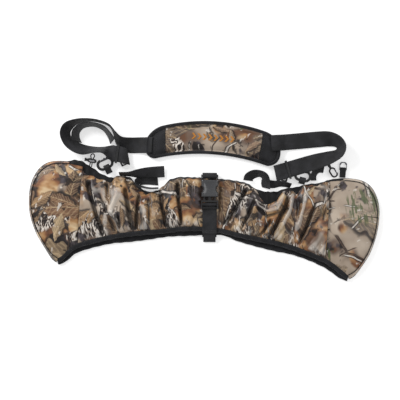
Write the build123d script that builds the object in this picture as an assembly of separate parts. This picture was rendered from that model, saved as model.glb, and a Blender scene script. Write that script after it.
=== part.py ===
from build123d import *
import math
import os

# Bow sling: a gathered fabric cover that slips over a compound bow, held on by a side-release
# belt and carried by a padded shoulder sling clipped to its two ends.
# Millimetres. The cover lies flat on its back: +X along its length, +Y away from its mouth,
# +Z up. The origin is on the floor at the middle of the cover.

# ---- cover ------------------------------------------------------------------------------
SEAM_X = 271.0             # seam between the sleeve and each cam pocket
BACK_THICKNESS = 3.0       # lined back panel
FRONT_WALL = 2.2           # lined front panel, measured straight down
BACK_DROP = 9.2            # how far the back panel's mouth edge hangs below the front's
GUSSET_SLOPE = 6.0         # the pocket gusset leans in by this much
GUSSET_WALL = 1.8
GUSSET_FOOT_Z = 4.0
GUSSET_TOP_Z = 8.6
BINDING_WIDTH = 9.6        # elastic binding along the mouth
FRONT_BINDING_THICKNESS = 4.0
BACK_BINDING_THICKNESS = 4.6
ELASTIC_WIDTH = 6.0
ELASTIC_THICKNESS = 1.4
ELASTIC_PLAY = 0.3
ELASTIC_REACH = 0.985      # the elastic stops short of the binding's ends

# Front panel's mouth edge for x >= 0: (x, y, height of the edge); the cover is symmetric there.
MOUTH = [(0, -48, 13.5), (40, -50, 13.5), (80, -57, 13.5), (120, -63, 13.5), (160, -69, 13.5),
         (200, -78, 13.5), (240, -90, 13.5), (271, -101, 13.5), (300, -115, 12), (324, -129, 9.5)]
# Sleeve front's top edge, which the gathers pull into dips: (x, y).
SLEEVE_TOP = [(-271, 58), (-255, 50), (-235, 43), (-205, 39), (-192, 48), (-170, 46), (-150, 31),
              (-125, 17), (-100, 23), (-78, 46), (-50, 55), (0, 57), (50, 56), (90, 50), (115, 36),
              (135, 15), (155, 18), (175, 43), (200, 42), (225, 56), (250, 56), (271, 64)]
# Stretch lining's outer edge, where the back panel ends: (x, y).
LINING_TOP = [(-306, 77), (-290, 81), (-271, 77), (-255, 67), (-235, 56), (-205, 49), (-192, 52),
              (-170, 51), (-150, 35), (-125, 22), (-100, 27), (-78, 51), (-50, 59), (0, 60),
              (50, 59), (90, 54), (115, 41), (135, 38), (155, 39), (175, 47), (200, 52), (225, 60),
              (250, 63), (271, 71), (290, 75), (306, 77)]
# The lining's three lengths end at these places along the cover.
LINING_LENGTHS = {"left": (-310, -78), "middle": (-78, 90), "right": (90, 310)}
# Pocket front, right-hand side: (x, mouth or outer edge y, top y, edge z low, edge z top, rise).
POCKET = [(271, -101, 64, 13.5, 12, 7), (300, -115, 71, 12, 12, 11), (324, -129, 72, 9.5, 12, 13),
          (342, -119, 68, 11, 12, 12), (356, -99, 59, 12, 12, 9), (367, -77, 46, 12, 12, 6),
          (374, -55, 31, 12, 12, 3.5), (379, -30, 8, 12, 12, 1)]
# Pocket's outer silhouette, right-hand side, from the lining's end round to the tip: (x, y).
SILHOUETTE = [(306, 77), (326, 77.5), (348, 73), (366, 60), (378, 40), (384.5, 18), (386, -6),
              (384, -32), (378.5, -60), (370, -85), (357, -108), (342, -130)]
SLEEVE_RISE = 6.0          # how far the sleeve front stands above its edges

# ---- belt and side-release buckle, in its own frame --------------------------------------
BELT_ORIGIN = (10.5, 18.0)     # middle of the female half's mouth
BELT_LEAN = 3.3                # degrees, anticlockwise from +Y
BELT_WIDTH = 31.5
BELT_TAIL_WIDTH = 27.0
WEB_THICKNESS = 1.5
BUCKLE_WIDTH = 37.0
BUCKLE_Z = 26.0                # middle of the buckle's thickness
FEMALE_LENGTH = 38.0
FEMALE_THICKNESS = 10.8
CAVITY_WIDTH = 31.0
CAVITY_HEIGHT = 6.4
CAVITY_DEPTH = 31.0
MALE_THICKNESS = 6.0
ARM_THICKNESS = 5.0
ARM_PIVOT = (12.0, -5.6)       # (across, along) of the right arm's living hinge
ARM_HINGE_RADIUS = 1.6
BAR_RADIUS = 2.0
GROOVE_DEPTH = 1.7
GROOVE_PLAY = 0.4

# ---- shoulder sling ----------------------------------------------------------------------
SLING_WIDTH = 35.0
PAD_BASE_THICKNESS = 2.0
PAD_THICKNESS = 13.0
PAD_FACE_THICKNESS = 2.0
PAD_BINDING_WIDTH = 5.0

# ---- swivel snap hook, in its own frame: +X from the webbing bar to the hook's nose --------
HOOK_Z = 8.5
HOOK_THICKNESS = 7.5
HOOK_RING_RADIUS = 13.0
HOOK_WIRE = 5.6
HOOK_NEAR = 21.2               # near and far centres of the ring's two round ends
HOOK_FAR = 33.8
EYE_SLOT = (6.0, 36.6)
EYE_BAR = 4.0
BOSS_RADIUS = 5.0
BOSS_LENGTH = 7.0
STEM_RADIUS = 2.6
RUNNING_CLEARANCE = 0.06
PIN_RADIUS = 1.3

os.makedirs("parts", exist_ok=True)


# ---- helpers -----------------------------------------------------------------------------
def band(edges, thickness):
    """A ribbon as a closed solid: edges is a list of (one edge point, other edge point)."""
    edges = [(Vector(*a), Vector(*b)) for a, b in edges]
    centres = [(a + b) * 0.5 for a, b in edges]
    last = len(centres) - 1
    sections = []
    for i, (a, b) in enumerate(edges):
        ahead = centres[min(i + 1, last)] - centres[max(i - 1, 0)]
        half = ahead.cross(b - a).normalized() * (thickness / 2)
        sections.append(Wire.make_polygon([a - half, b - half, b + half, a + half], close=True))
    return Solid.make_loft(sections, ruled=True)


def webbing(route, width, thickness=WEB_THICKNESS):
    """A strap along route, a list of (x, y, z, azimuth, tilt) where the last two, in degrees,
    aim the strap's width: tilt 0 lies flat and tilt 90 stands on its edge."""
    edges = []
    for x, y, z, azimuth, tilt in route:
        level = math.cos(math.radians(tilt)) * width / 2
        across = Vector(level * math.cos(math.radians(azimuth)), level * math.sin(math.radians(azimuth)),
                        math.sin(math.radians(tilt)) * width / 2)
        edges.append((Vector(x, y, z) - across, Vector(x, y, z) + across))
    return band(edges, thickness)


def height_share(t):
    """0 at both edges of a panel (t = 0 and 1) and 1 over its middle, with steep sides."""
    return 1 - abs(2 * t - 1) ** 3


def dome(stations, wall):
    """A domed panel open underneath: stations are (x, y low, y high, z low, z high, rise)."""
    shares = [0, 0.06, 0.16, 0.32, 0.5, 0.68, 0.84, 0.94, 1]
    sections = []
    for x, y_low, y_high, z_low, z_high, rise in stations:
        outer = []
        for t in shares:
            z = z_low + (z_high - z_low) * t + rise * height_share(t)
            outer.append((x, y_low + (y_high - y_low) * t, z))
        inner = [(px, py, pz - wall) for px, py, pz in reversed(outer)]
        sections.append(Wire.make_polygon(outer + inner, close=True))
    return Solid.make_loft(sections, ruled=True)


def plate(points, low, high):
    """A flat panel with the given outline, from z = low to z = high."""
    face = Face(Wire.make_polygon([(x, y, low) for x, y in points], close=True))
    return Solid.extrude(face, Vector(0, 0, high - low))


def value_at(points, x, column):
    """The given column of a list of rows sorted by their first value, at x."""
    for before, after in zip(points, points[1:]):
        if before[0] <= x <= after[0]:
            share = (x - before[0]) / (after[0] - before[0])
            return before[column] + (after[column] - before[column]) * share
    raise ValueError(f"{x} lies outside the list")


def mirrored(points):
    """A list for x >= 0 completed by its mirror image, in order of x."""
    left = [(-row[0], *row[1:]) for row in reversed(points) if row[0] > 0]
    return left + list(points)


def flipped(points, side):
    """A right-hand list on the given side: 1 keeps it, -1 mirrors it."""
    return [(side * row[0], *row[1:]) for row in points]


def inset_points(points, distance):
    """Each point of an open outline moved square to it, to the right of its direction."""
    moved = []
    last = len(points) - 1
    for i, (x, y) in enumerate(points):
        ahead = points[min(i + 1, last)]
        behind = points[max(i - 1, 0)]
        dx, dy = ahead[0] - behind[0], ahead[1] - behind[1]
        length = math.hypot(dx, dy)
        moved.append((x + dy / length * distance, y - dx / length * distance))
    return moved


def placed(shape, x, y, heading, z=0):
    """A shape drawn along its own +X, set down at (x, y, z) and turned to the heading."""
    return shape.moved(Location((x, y, z), (0, 0, heading)))


def box(x, y, z):
    """A box from three (low, high) pairs."""
    size = (x[1] - x[0], y[1] - y[0], z[1] - z[0])
    return Solid.make_box(*size).moved(Location((x[0], y[0], z[0])))


def rod(radius, start, direction, length):
    """A round bar from start along direction."""
    return Solid.make_cylinder(radius, length, Plane(origin=start, z_dir=direction))


def one_solid(shape):
    """The single solid that a cut or a join must leave."""
    solids = shape.solids()
    if len(solids) != 1:
        raise ValueError(f"expected one solid and found {len(solids)}")
    return solids[0]


def save(node, shape):
    """Write one sub-part to its own file."""
    shape.label = node
    export_step(shape, f"parts/{node}.step")


# ---- cover panels ------------------------------------------------------------------------
def make_fronts():
    """The two pocket fronts and the gathered sleeve front between them."""
    whole_mouth = mirrored(MOUTH)
    places = {x for x, y in SLEEVE_TOP} | {row[0] for row in whole_mouth if abs(row[0]) <= SEAM_X}
    rows = []
    for x in sorted(places):
        rise = SLEEVE_RISE + (POCKET[0][5] - SLEEVE_RISE) * (abs(x) / SEAM_X) ** 4
        top = value_at(SLEEVE_TOP, x, 1)
        rows.append((x, value_at(whole_mouth, x, 1), top, value_at(whole_mouth, x, 2), 12, rise))
    save("sleeve_front", dome(rows, FRONT_WALL))
    for side, name in ((-1, "left"), (1, "right")):
        save(f"pocket_front_{name}", dome(flipped(POCKET, side), FRONT_WALL))


def belt_groove():
    """The shallow channel that the belt lies in, across the back."""
    half = (BELT_WIDTH + GROOVE_PLAY) / 2
    return placed_on_belt(box((-half, half), (-110, 60), (-1, GROOVE_DEPTH)))


def placed_on_belt(shape):
    """A shape drawn in the belt's frame (+Y along the belt) set on the cover."""
    return shape.moved(Location((*BELT_ORIGIN, 0), (0, 0, BELT_LEAN)))


def make_backs():
    """The flat back panels that the cover lies on."""
    whole_mouth = mirrored(MOUTH)
    top = [point for point in LINING_TOP if abs(point[0]) <= SEAM_X]
    bottom = [(x, y - BACK_DROP) for x, y, z in reversed(whole_mouth) if abs(x) <= SEAM_X]
    sleeve = plate(top + bottom, 0, BACK_THICKNESS)
    save("sleeve_back", one_solid(sleeve - belt_groove()))
    for side, name in ((-1, "left"), (1, "right")):
        top = sorted((side * x, y) for x, y in LINING_TOP if SEAM_X <= side * x < SILHOUETTE[0][0])
        bottom = [(x, y - BACK_DROP) for x, y, z in reversed(MOUTH) if x >= SEAM_X]
        outline = top + SILHOUETTE + bottom
        save(f"pocket_back_{name}", plate(flipped(outline, side), 0, BACK_THICKNESS))


def make_gussets():
    """The strips that join front to back: camouflage round the pockets, black along the top."""
    inner = inset_points(SILHOUETTE, GUSSET_SLOPE)
    for side, name in ((-1, "left"), (1, "right")):
        edges = []
        for (x0, y0), (x1, y1) in zip(SILHOUETTE, inner):
            edges.append(((side * x0, y0, GUSSET_FOOT_Z), (side * x1, y1, GUSSET_TOP_Z)))
        save(f"pocket_gusset_{name}", band(edges, GUSSET_WALL))
    top_edge = [(-305, 72), *SLEEVE_TOP, (305, 72)]
    edges = []
    for x, y in LINING_TOP:
        x = max(-305, min(305, x))
        y_front = min(value_at(top_edge, x, 1), y - 4)
        edges.append(((x, y - 1, GUSSET_FOOT_Z), (x, y_front, GUSSET_TOP_Z)))
    whole = band(edges, GUSSET_WALL)
    for name, ends in LINING_LENGTHS.items():
        save(f"top_lining_{name}", one_solid(whole & box(ends, (0, 100), (-10, 30))))


def binding(top_gap, drop, thickness, height_of, elastic_shift):
    """A binding along the mouth with a channel for its elastic, and the elastic."""
    edges, channel, elastic = [], [], []
    spare = (BINDING_WIDTH - ELASTIC_WIDTH) / 2
    for x, y, z_edge in mirrored(MOUTH):
        top = y - drop - top_gap
        z = height_of(z_edge)
        z_elastic = z + elastic_shift
        edges.append(((x, top, z), (x, top - BINDING_WIDTH, z)))
        inside = x * ELASTIC_REACH
        channel.append(((inside, top - spare + ELASTIC_PLAY, z_elastic),
                        (inside, top - BINDING_WIDTH + spare - ELASTIC_PLAY, z_elastic)))
        elastic.append(((inside, top - spare, z_elastic),
                        (inside, top - BINDING_WIDTH + spare, z_elastic)))
    hollow = band(channel, ELASTIC_THICKNESS + 2 * ELASTIC_PLAY)
    return one_solid(band(edges, thickness) - hollow), band(elastic, ELASTIC_THICKNESS)


def make_bindings():
    """Both mouth bindings with the elastic that gathers them."""
    front, front_elastic = binding(0.4, 0, FRONT_BINDING_THICKNESS, lambda z: z - 1.1, 0)
    save("mouth_binding_front", front)
    save("mouth_elastic_front", front_elastic)
    middle = BACK_BINDING_THICKNESS / 2
    back, back_elastic = binding(0.2, BACK_DROP, BACK_BINDING_THICKNESS, lambda z: middle, 0.8)
    save("mouth_binding_back", one_solid(back - belt_groove()))
    save("mouth_elastic_back", back_elastic)


# ---- belt and buckle ---------------------------------------------------------------------
def belt_band(points, width, thickness=WEB_THICKNESS):
    """A belt strap from (along, z) points, set on the cover."""
    return placed_on_belt(webbing([(0, v, z, 180, 0) for v, z in points], width, thickness))


def make_belt():
    """The belt: over the top to the female half, from the male half to the mouth, and behind."""
    half = BELT_WIDTH / 2
    save("belt_back", placed_on_belt(box((-half, half), (-88, 43), (0, WEB_THICKNESS))))
    over_top = [(43.1, 0.75), (47.5, 1.1), (51, 4.5), (52.3, 13), (52.2, 23), (50.3, 27.6),
                (46, 29.2), (42.4, 28.4), (41.2, 26), (42.4, 23.3), (46, 22.4), (49.2, 22.4)]
    save("belt_upper", belt_band(over_top, BELT_WIDTH))
    to_mouth = [(-12.7, 24.5), (-13.6, 27), (-15.7, 28.4), (-17.9, 27.2), (-19.4, 24.2), (-22, 22),
                (-27, 21.3), (-40, 20.6), (-52, 19.4), (-62, 18), (-71, 16.6), (-80, 15.4)]
    save("belt_lower", belt_band(to_mouth, BELT_WIDTH))
    round_mouth = [(-78.8, 13.3), (-82.5, 12.3), (-88, 10.3), (-95, 6.6), (-98.4, 3.2), (-97, 0.95),
                   (-93, 0.75), (-88.1, 0.75)]
    save("belt_tail", belt_band(round_mouth, BELT_TAIL_WIDTH, 1.3))


def make_female():
    """The female half: a flat socket with thumb scallops and a bar for the belt."""
    half = BUCKLE_WIDTH / 2
    low, high = BUCKLE_Z - FEMALE_THICKNESS / 2, BUCKLE_Z + FEMALE_THICKNESS / 2
    body = box((-half, half), (0, FEMALE_LENGTH), (low, high))
    body = body.fillet(2.4, body.edges().filter_by(Axis.Z))
    body = body.fillet(1.6, body.faces().sort_by(Axis.Z)[-1].edges())
    cavity = box((-CAVITY_WIDTH / 2, CAVITY_WIDTH / 2), (-1, CAVITY_DEPTH),
                 (BUCKLE_Z - CAVITY_HEIGHT / 2, BUCKLE_Z + CAVITY_HEIGHT / 2))
    body = body - cavity
    for side in (-1, 1):
        body = body - rod(8, (side * (half + 3.6), 17, 0), (0, 0, 1), 60)
        cheek = box((side * half - 1.2, side * half + 1.2), (FEMALE_LENGTH - 3, 49),
                    (BUCKLE_Z - 3.4, BUCKLE_Z + 2.6)).moved(Location((-side * 1.2, 0, 0)))
        body = body + cheek
    body = body + rod(BAR_RADIUS, (-half + 0.4, 46, BUCKLE_Z - 0.2), (1, 0, 0), BUCKLE_WIDTH - 0.8)
    save("buckle_female", placed_on_belt(one_solid(body)))


def make_male():
    """The male half: a ladder frame for the belt, a guide tongue and two springing arms."""
    half = BUCKLE_WIDTH / 2
    low, high = BUCKLE_Z - MALE_THICKNESS / 2, BUCKLE_Z + MALE_THICKNESS / 2
    frame = box((-half, half), (-26, -7), (low, high))
    frame = frame.fillet(1.4, frame.edges().filter_by(Axis.Z))
    opening = (BELT_WIDTH + 1.0) / 2
    frame = frame - box((-opening, opening), (-27, -11), (low - 1, high + 1))
    for along, radius in ((-15.7, 1.5), (-23.4, 1.3)):
        frame = frame + rod(radius, (-half + 1, along, BUCKLE_Z - 0.4), (1, 0, 0), BUCKLE_WIDTH - 2)
    tongue = box((-3, 3), (-8, 26), (BUCKLE_Z - 2.2, BUCKLE_Z + 2.2))
    frame = frame + tongue.fillet(1.2, tongue.faces().sort_by(Axis.Y)[-1].edges().filter_by(Axis.Z))
    for side in (-1, 1):
        hinge = (side * ARM_PIVOT[0], ARM_PIVOT[1], low - 1)
        frame = frame - rod(ARM_HINGE_RADIUS + 0.3, hinge, (0, 0, 1), MALE_THICKNESS + 2)
    save("buckle_male", placed_on_belt(one_solid(frame)))
    for side, name in ((-1, "left"), (1, "right")):
        outline = [(10.6, -5.6), (13.4, -5.6), (13.9, 8), (14.9, 12), (14.9, 22), (13, 28.5), (10.4, 28.5),
                   (11.2, 20), (11.2, 10)]
        arm = plate(flipped(outline, side), BUCKLE_Z - ARM_THICKNESS / 2, BUCKLE_Z + ARM_THICKNESS / 2)
        hinge = (side * ARM_PIVOT[0], ARM_PIVOT[1], BUCKLE_Z - ARM_THICKNESS / 2)
        arm = arm + rod(ARM_HINGE_RADIUS, hinge, (0, 0, 1), ARM_THICKNESS)
        save(f"buckle_arm_{name}", placed_on_belt(one_solid(arm)))


# ---- shoulder pad ------------------------------------------------------------------------
def pad_face(margin):
    """The pad's kidney outline, drawn in by margin."""
    sides = [
        Edge.make_line((-128, 108), (-128, 140)),
        Edge.make_three_point_arc((-128, 140), (-119, 156), (-103, 167)),
        Edge.make_three_point_arc((-103, 167), (14, 184), (122, 169)),
        Edge.make_three_point_arc((122, 169), (146, 155), (159, 132)),
        Edge.make_line((159, 132), (159, 120)),
        Edge.make_three_point_arc((159, 120), (151, 102), (132, 95)),
        Edge.make_three_point_arc((132, 95), (10, 113), (-108, 98)),
        Edge.make_three_point_arc((-108, 98), (-122, 99.5), (-128, 108)),
    ]
    face = Face(Wire(sides))
    if margin == 0:
        return face
    return offset(face, amount=-margin, kind=Kind.INTERSECTION).faces()[0]


def make_pad():
    """The pad: backing, foam, camouflage face between two end patches, and a binding round it."""
    backing = pad_face(PAD_BINDING_WIDTH + 0.1)
    foam_top = PAD_THICKNESS - PAD_FACE_THICKNESS
    save("pad_backing", Solid.extrude(backing, Vector(0, 0, PAD_BASE_THICKNESS)))
    foam = Solid.extrude(pad_face(PAD_BINDING_WIDTH + 0.6), Vector(0, 0, foam_top - PAD_BASE_THICKNESS))
    save("pad_foam", foam.moved(Location((0, 0, PAD_BASE_THICKNESS))))
    rim = Solid.extrude(pad_face(0), Vector(0, 0, foam_top))
    rim = rim - Solid.extrude(pad_face(PAD_BINDING_WIDTH), Vector(0, 0, foam_top))
    save("pad_binding", one_solid(rim))
    top = Solid.extrude(backing, Vector(0, 0, PAD_FACE_THICKNESS)).moved(Location((0, 0, foam_top)))
    pieces = {
        "pad_patch_left": [(-140, 80), (-90, 80), (-98, 200), (-140, 200)],
        "pad_face": [(-90, 80), (110, 80), (123, 200), (-98, 200)],
        "pad_patch_right": [(110, 80), (170, 80), (170, 200), (123, 200)],
    }
    for node, outline in pieces.items():
        save(node, one_solid(top & plate(outline, foam_top, PAD_THICKNESS)))


# ---- sling and limb straps ---------------------------------------------------------------
SLING_LEFT = [(-129, 124, 5, 90, 0), (-150, 122.5, 4, 90, 0), (-170, 121, 6, 88, 12),
              (-186, 123, 12, 75, 35), (-197, 131, 17, 55, 58), (-206, 146, 19, 38, 78),
              (-218, 161, 19, 58, 84), (-240, 168.5, 19, 80, 85), (-265, 170, 19, 93, 84),
              (-290, 165, 18.5, 112, 77), (-308, 153, 17, 138, 61), (-313, 137, 16, 171, 56),
              (-304, 121, 17, 215, 50), (-288, 109.5, 18.5, 238, 48), (-268, 104, 18, 250, 50),
              (-245, 106, 19, 264, 66), (-227, 106.8, 19, 266, 64), (-213, 103.3, 18, 265, 34),
              (-204, 100.6, 17, 265, 0), (-196, 99.9, 17, 265, 0), (-190, 99.2, 17, 266, 0),
              (-184, 98, 16.6, 270, 0), (-174.5, 95.5, 13.5, 278, 0), (-172.6, 94.8, 9.2, 284, 0),
              (-175.5, 95.4, 5.8, 291, 0), (-181, 96.8, 5.1, 296, 0), (-187, 96, 5.1, 298, 0),
              (-190.6, 94.1, 8.5, 298, 0), (-187, 96, 11.8, 298, 0), (-180, 99.7, 11.9, 298, 0)]
SLING_LEFT_RETURN = [(-285, 131, 15, 162, 60), (-283, 142, 15, 138, 60), (-273, 151.5, 15, 106, 60),
                     (-257, 155, 15, 88, 62), (-238, 150.5, 15, 72, 62), (-222, 138.5, 15, 56, 60),
                     (-213, 125, 13.5, 43, 54)]
SLING_RIGHT = [(160, 147, 5, 97, 0), (200, 153, 3, 98, 0), (240, 159, 4, 97, 6),
               (264, 161, 9, 88, 24), (282, 156, 15, 62, 48), (291, 145, 18, 15, 62),
               (287, 132, 18, -40, 58), (270, 122, 17, -62, 40), (242, 111.2, 17, -69, 18),
               (214, 101, 17, -70, 0), (163, 82.6, 17, -70, 0), (155.5, 79.8, 15.8, -71, 0),
               (151.4, 78.4, 12, -73, 0), (152.4, 79, 8, -77, 0), (156.6, 80.8, 5.6, -84, 0),
               (163, 83.4, 5.1, -94, 0), (172.4, 84, 5.1, -100, 0), (176.3, 83.3, 8.5, -100, 0),
               (172.4, 84, 11.8, -100, 0), (165, 85.3, 11.9, -100, 0)]
LIMB_STRAP_LEFT = [(-190, 56.5, 13.5, 95, 76), (-168, 57.5, 15.5, 98, 70), (-150, 59.5, 19, 100, 46),
                   (-125, 63.5, 14, 100, 20), (-92, 68, 6, 96, 4)]
LIMB_STRAP_LEFT_TAIL = [(-105, 46.5, 1.2, 97, 0), (-125, 47, 1.2, 92, 0), (-140, 45.5, 2.6, 95, 6),
                        (-150, 41.5, 9, 140, 50), (-148, 35, 11.2, 215, 74), (-138, 31.5, 11.4, 250, 80),
                        (-120, 29.5, 11.4, 268, 82), (-103, 31, 11.4, 275, 82)]
LIMB_STRAP_RIGHT = [(93, 59, 9, 178, 40), (94, 67, 10, 150, 42), (104, 74, 11, 112, 48),
                    (118, 77, 12, 88, 66), (128, 72, 12, 45, 66), (131, 62, 11, 5, 58),
                    (131.5, 53, 10, -15, 52), (137, 46, 9, -50, 48)]
LIMB_STRAP_RIGHT_TAIL = [(139, 55, 5, 92, 20), (150, 54.5, 7, 96, 40), (162, 56.5, 8.6, 96, 66),
                         (174, 56, 9, 84, 72), (187, 53.6, 9, 72, 74)]
POCKET_STRAP = [(236, 70, 8.2, 185, 66), (236.5, 80, 8.2, 165, 62), (241, 89, 8.2, 130, 55),
                (250, 92.5, 8, 100, 50), (260, 92, 8, 86, 50)]


def make_straps():
    """Sling webbing and the limb straps, with their sewn ends."""
    save("sling_left", webbing(SLING_LEFT, SLING_WIDTH))
    save("sling_left_return", webbing(SLING_LEFT_RETURN, SLING_WIDTH - 5))
    save("sling_right", webbing(SLING_RIGHT, SLING_WIDTH))
    save("limb_strap_left", webbing(LIMB_STRAP_LEFT, 25, 2))
    save("limb_strap_left_tail", webbing(LIMB_STRAP_LEFT_TAIL, 20))
    save("limb_strap_right", webbing(LIMB_STRAP_RIGHT, 20))
    save("limb_strap_right_tail", webbing(LIMB_STRAP_RIGHT_TAIL, 16))
    save("pocket_strap", webbing(POCKET_STRAP, 15))


# ---- hardware ----------------------------------------------------------------------------
KEEPERS = {"left": (-197, 99.95, -4.92), "right": (178, 88.01, 199.84)}   # x, y, heading
HOOKS = {"left": (-198.4, 89.9, 208.0, -1), "right": (184.5, 81.8, -10.0, 1)}   # x, y, heading, gate side
SMALL_HOOK = (268.5, 102.5, -54.5)
SMALL_SCALE = 0.62
SMALL_HOOK_Z = 7.0
TAB_WIDTH = 14.0
RING_BAR_RADIUS = 1.3


def make_keepers():
    """A moulded keeper round the sling on each side, which slides along the flat webbing."""
    half = SLING_WIDTH / 2 + 0.8
    for name, (x, y, heading) in KEEPERS.items():
        outer = box((-2.5, 2.5), (-half - 2.4, half + 2.4), (14.1, 19.9))
        outer = outer.fillet(0.8, outer.edges())
        keeper = outer - box((-4, 4), (-half, half), (15.9, 18.1))
        save(f"keeper_{name}", placed(one_solid(keeper), x, y, heading))


def stadium(near, far, radius, low, high):
    """An upright plate with two round ends, centred on the X axis."""
    shape = rod(radius, (near, 0, low), (0, 0, 1), high - low)
    shape = shape + rod(radius, (far, 0, low), (0, 0, 1), high - low)
    return shape + box((near, far), (-radius, radius), (low, high))


def hook_parts():
    """The swivel snap hook: webbing eye, hook body, gate and gate pin, on the X axis at z = 0."""
    slot_far = -7.0 - EYE_SLOT[0]
    eye_half = EYE_SLOT[1] / 2 + 3.0
    eye = box((slot_far - EYE_BAR, -3.2), (-eye_half, eye_half), (-2, 2))
    eye = eye.fillet(1.4, eye.edges().filter_by(Axis.Z))
    eye = eye - box((slot_far, -7.0), (-EYE_SLOT[1] / 2, EYE_SLOT[1] / 2), (-3, 3))
    eye = eye + rod(BOSS_RADIUS, (-3.3, 0, 0), (1, 0, 0), BOSS_LENGTH)
    eye = eye - rod(STEM_RADIUS + RUNNING_CLEARANCE, (-8, 0, 0), (1, 0, 0), 20)
    eye = eye - rod(3.9, (-7.5, 0, 0), (1, 0, 0), 4.6)

    half = HOOK_THICKNESS / 2
    ring = stadium(HOOK_NEAR, HOOK_FAR, HOOK_RING_RADIUS, -half, half)
    ring = ring.fillet(1.5, ring.faces().sort_by(Axis.Z)[-1].edges())
    ring = ring.fillet(1.5, ring.faces().sort_by(Axis.Z)[0].edges())
    ring = ring - stadium(HOOK_NEAR, HOOK_FAR, HOOK_RING_RADIUS - HOOK_WIRE, -half - 1, half + 1)
    pivot = (HOOK_NEAR - 3.6, HOOK_RING_RADIUS - 4.2)
    ring = ring - box((pivot[0] + 2.6, HOOK_FAR + 1.4), (4, 20), (-10, 10))
    ring = ring - box((pivot[0] - 3.6, HOOK_FAR), (3.4, 20), (-2.1, 2.1))
    body = ring + rod(4.6, (3.9, 0, 0), (1, 0, 0), 5.0)
    body = body + rod(STEM_RADIUS, (-4.4, 0, 0), (1, 0, 0), 10)
    body = body + rod(3.6, (-6.4, 0, 0), (1, 0, 0), 2.9)
    body = body - rod(PIN_RADIUS, (*pivot, -5), (0, 0, 1), 10)

    gate = box((pivot[0], HOOK_FAR + 0.9), (pivot[1] - 2.1, pivot[1] + 2.1), (-1.9, 1.9))
    gate = gate + rod(2.5, (*pivot, -1.9), (0, 0, 1), 3.8)
    gate = gate + rod(2.0, (HOOK_NEAR + 3.5, pivot[1] + 2.1, -1.9), (0, 0, 1), 3.8)
    gate = gate - rod(PIN_RADIUS + RUNNING_CLEARANCE, (*pivot, -5), (0, 0, 1), 10)
    pin = rod(PIN_RADIUS, (*pivot, -half + 0.3), (0, 0, 1), HOOK_THICKNESS - 0.6)
    return {"eye": one_solid(eye), "body": one_solid(body), "gate": one_solid(gate), "pin": pin}


def make_hooks():
    """A large swivel hook at each end of the sling and a small one on the right limb strap."""
    parts = hook_parts()
    for name, (x, y, heading, gate_side) in HOOKS.items():
        for piece, shape in parts.items():
            handed = shape if gate_side > 0 else shape.mirror(Plane.XZ)
            save(f"hook_{piece}_{name}", placed(handed, x, y, heading, HOOK_Z))
    x, y, heading = SMALL_HOOK
    ring = rod(6.4, (-12.5, 0, -1.8), (0, 0, 1), 3.6)
    for side in (-1, 1):
        ring = ring + box((-9.5, 0), sorted((side * 3.9, side * 5.6)), (-1.8, 1.8))
    ring = ring - rod(4.0, (-12.5, 0, -3), (0, 0, 1), 6) - rod(3.9, (-6.9, 0, 0), (1, 0, 0), 4.0)
    ring = ring + rod(BOSS_RADIUS, (-3.3, 0, 0), (1, 0, 0), BOSS_LENGTH)
    ring = one_solid(ring - rod(STEM_RADIUS + RUNNING_CLEARANCE, (-5, 0, 0), (1, 0, 0), 20))
    small = {"eye": ring, "body": parts["body"], "gate": parts["gate"], "pin": parts["pin"]}
    for piece, shape in small.items():
        scaled = shape.scale(SMALL_SCALE)
        save(f"small_hook_{piece}", placed(scaled, x, y, heading, SMALL_HOOK_Z))


def make_tabs():
    """The webbing tabs that the hooks clip to, and the right pocket's tab with its ring."""
    loops = {"tab_left": (-215.2, 64.1, 118, -8), "tab_right": (210.5, 62.1, 80, -3)}
    for node, (x, y, heading, root) in loops.items():
        turn = math.radians(heading)
        route = []
        profile = [(root, 1.0), (5, 1.0), (9.6, 2.6), (11.4, 8.5), (9.6, 14.6), (4.5, 16.0), (root, 11)]
        for along, z in profile:
            route.append((x + along * math.cos(turn), y + along * math.sin(turn), z, heading - 90, 0))
        save(node, webbing(route, TAB_WIDTH - 1))
    fold = [(299.5, 78.6, 1.0), (299.5, 92, 1.0), (299.5, 97.5, 1.2), (299.5, 100.4, 4.2),
            (299.5, 97.5, 7.2), (299.5, 92, 7.0), (299.5, 78.6, 4.0)]
    save("ring_tab", webbing([(x, y, z, 0, 0) for x, y, z in fold], TAB_WIDTH - 1.5))
    ring = box((-8.2, 8.2), (0, 17), (-1.3, 1.3))
    ring = ring.fillet(6, ring.edges().filter_by(Axis.Z).sort_by(Axis.Y)[-2:])
    ring = ring - box((-6.8, 6.8), (-1, 10), (-3, 3)) - rod(5.4, (0, 9.6, -3), (0, 0, 1), 6)
    ring = ring + rod(RING_BAR_RADIUS, (-8.2, 0, 0), (1, 0, 0), 16.4)
    save("strap_ring", one_solid(ring).moved(Location((299.5, 96.2, 4.2))))


LOCK = Location((-252, 82, 7), (0, 0, 172))
CORD_DIAMETER = 2.5
# Drawcord in the lock's frame: out of the lining, through the lock, round a loop and back.
DRAWCORD = [(-1.6, 13.4, -1.2), (-1.5, 9.6, -0.6), (-1.3, 5.6, 0), (-1.3, -5.4, 0), (-3.4, -9, -0.6),
            (-3.3, -13, -1.2), (0.7, -16, -1.4), (4.9, -13, -1.2), (4.8, -9, -0.6), (2.7, -5.4, 0),
            (2.7, 5.6, 0), (2.9, 9.6, -0.6), (3.1, 13.4, -1.2)]


def limp_path(points):
    """Straight runs joined by arcs as large as the runs allow; prints the radii."""
    points = [Vector(*point) for point in points]
    radii = []
    for before, corner, after in zip(points, points[1:], points[2:]):
        arriving, leaving = corner - before, after - corner
        turn = math.radians(arriving.get_angle(leaving))
        radii.append(0.45 * min(arriving.length, leaving.length) / math.tan(turn / 2))
    print("cord radii", [round(radius, 1) for radius in radii])
    return FilletPolyline(*points, radius=radii)


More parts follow.
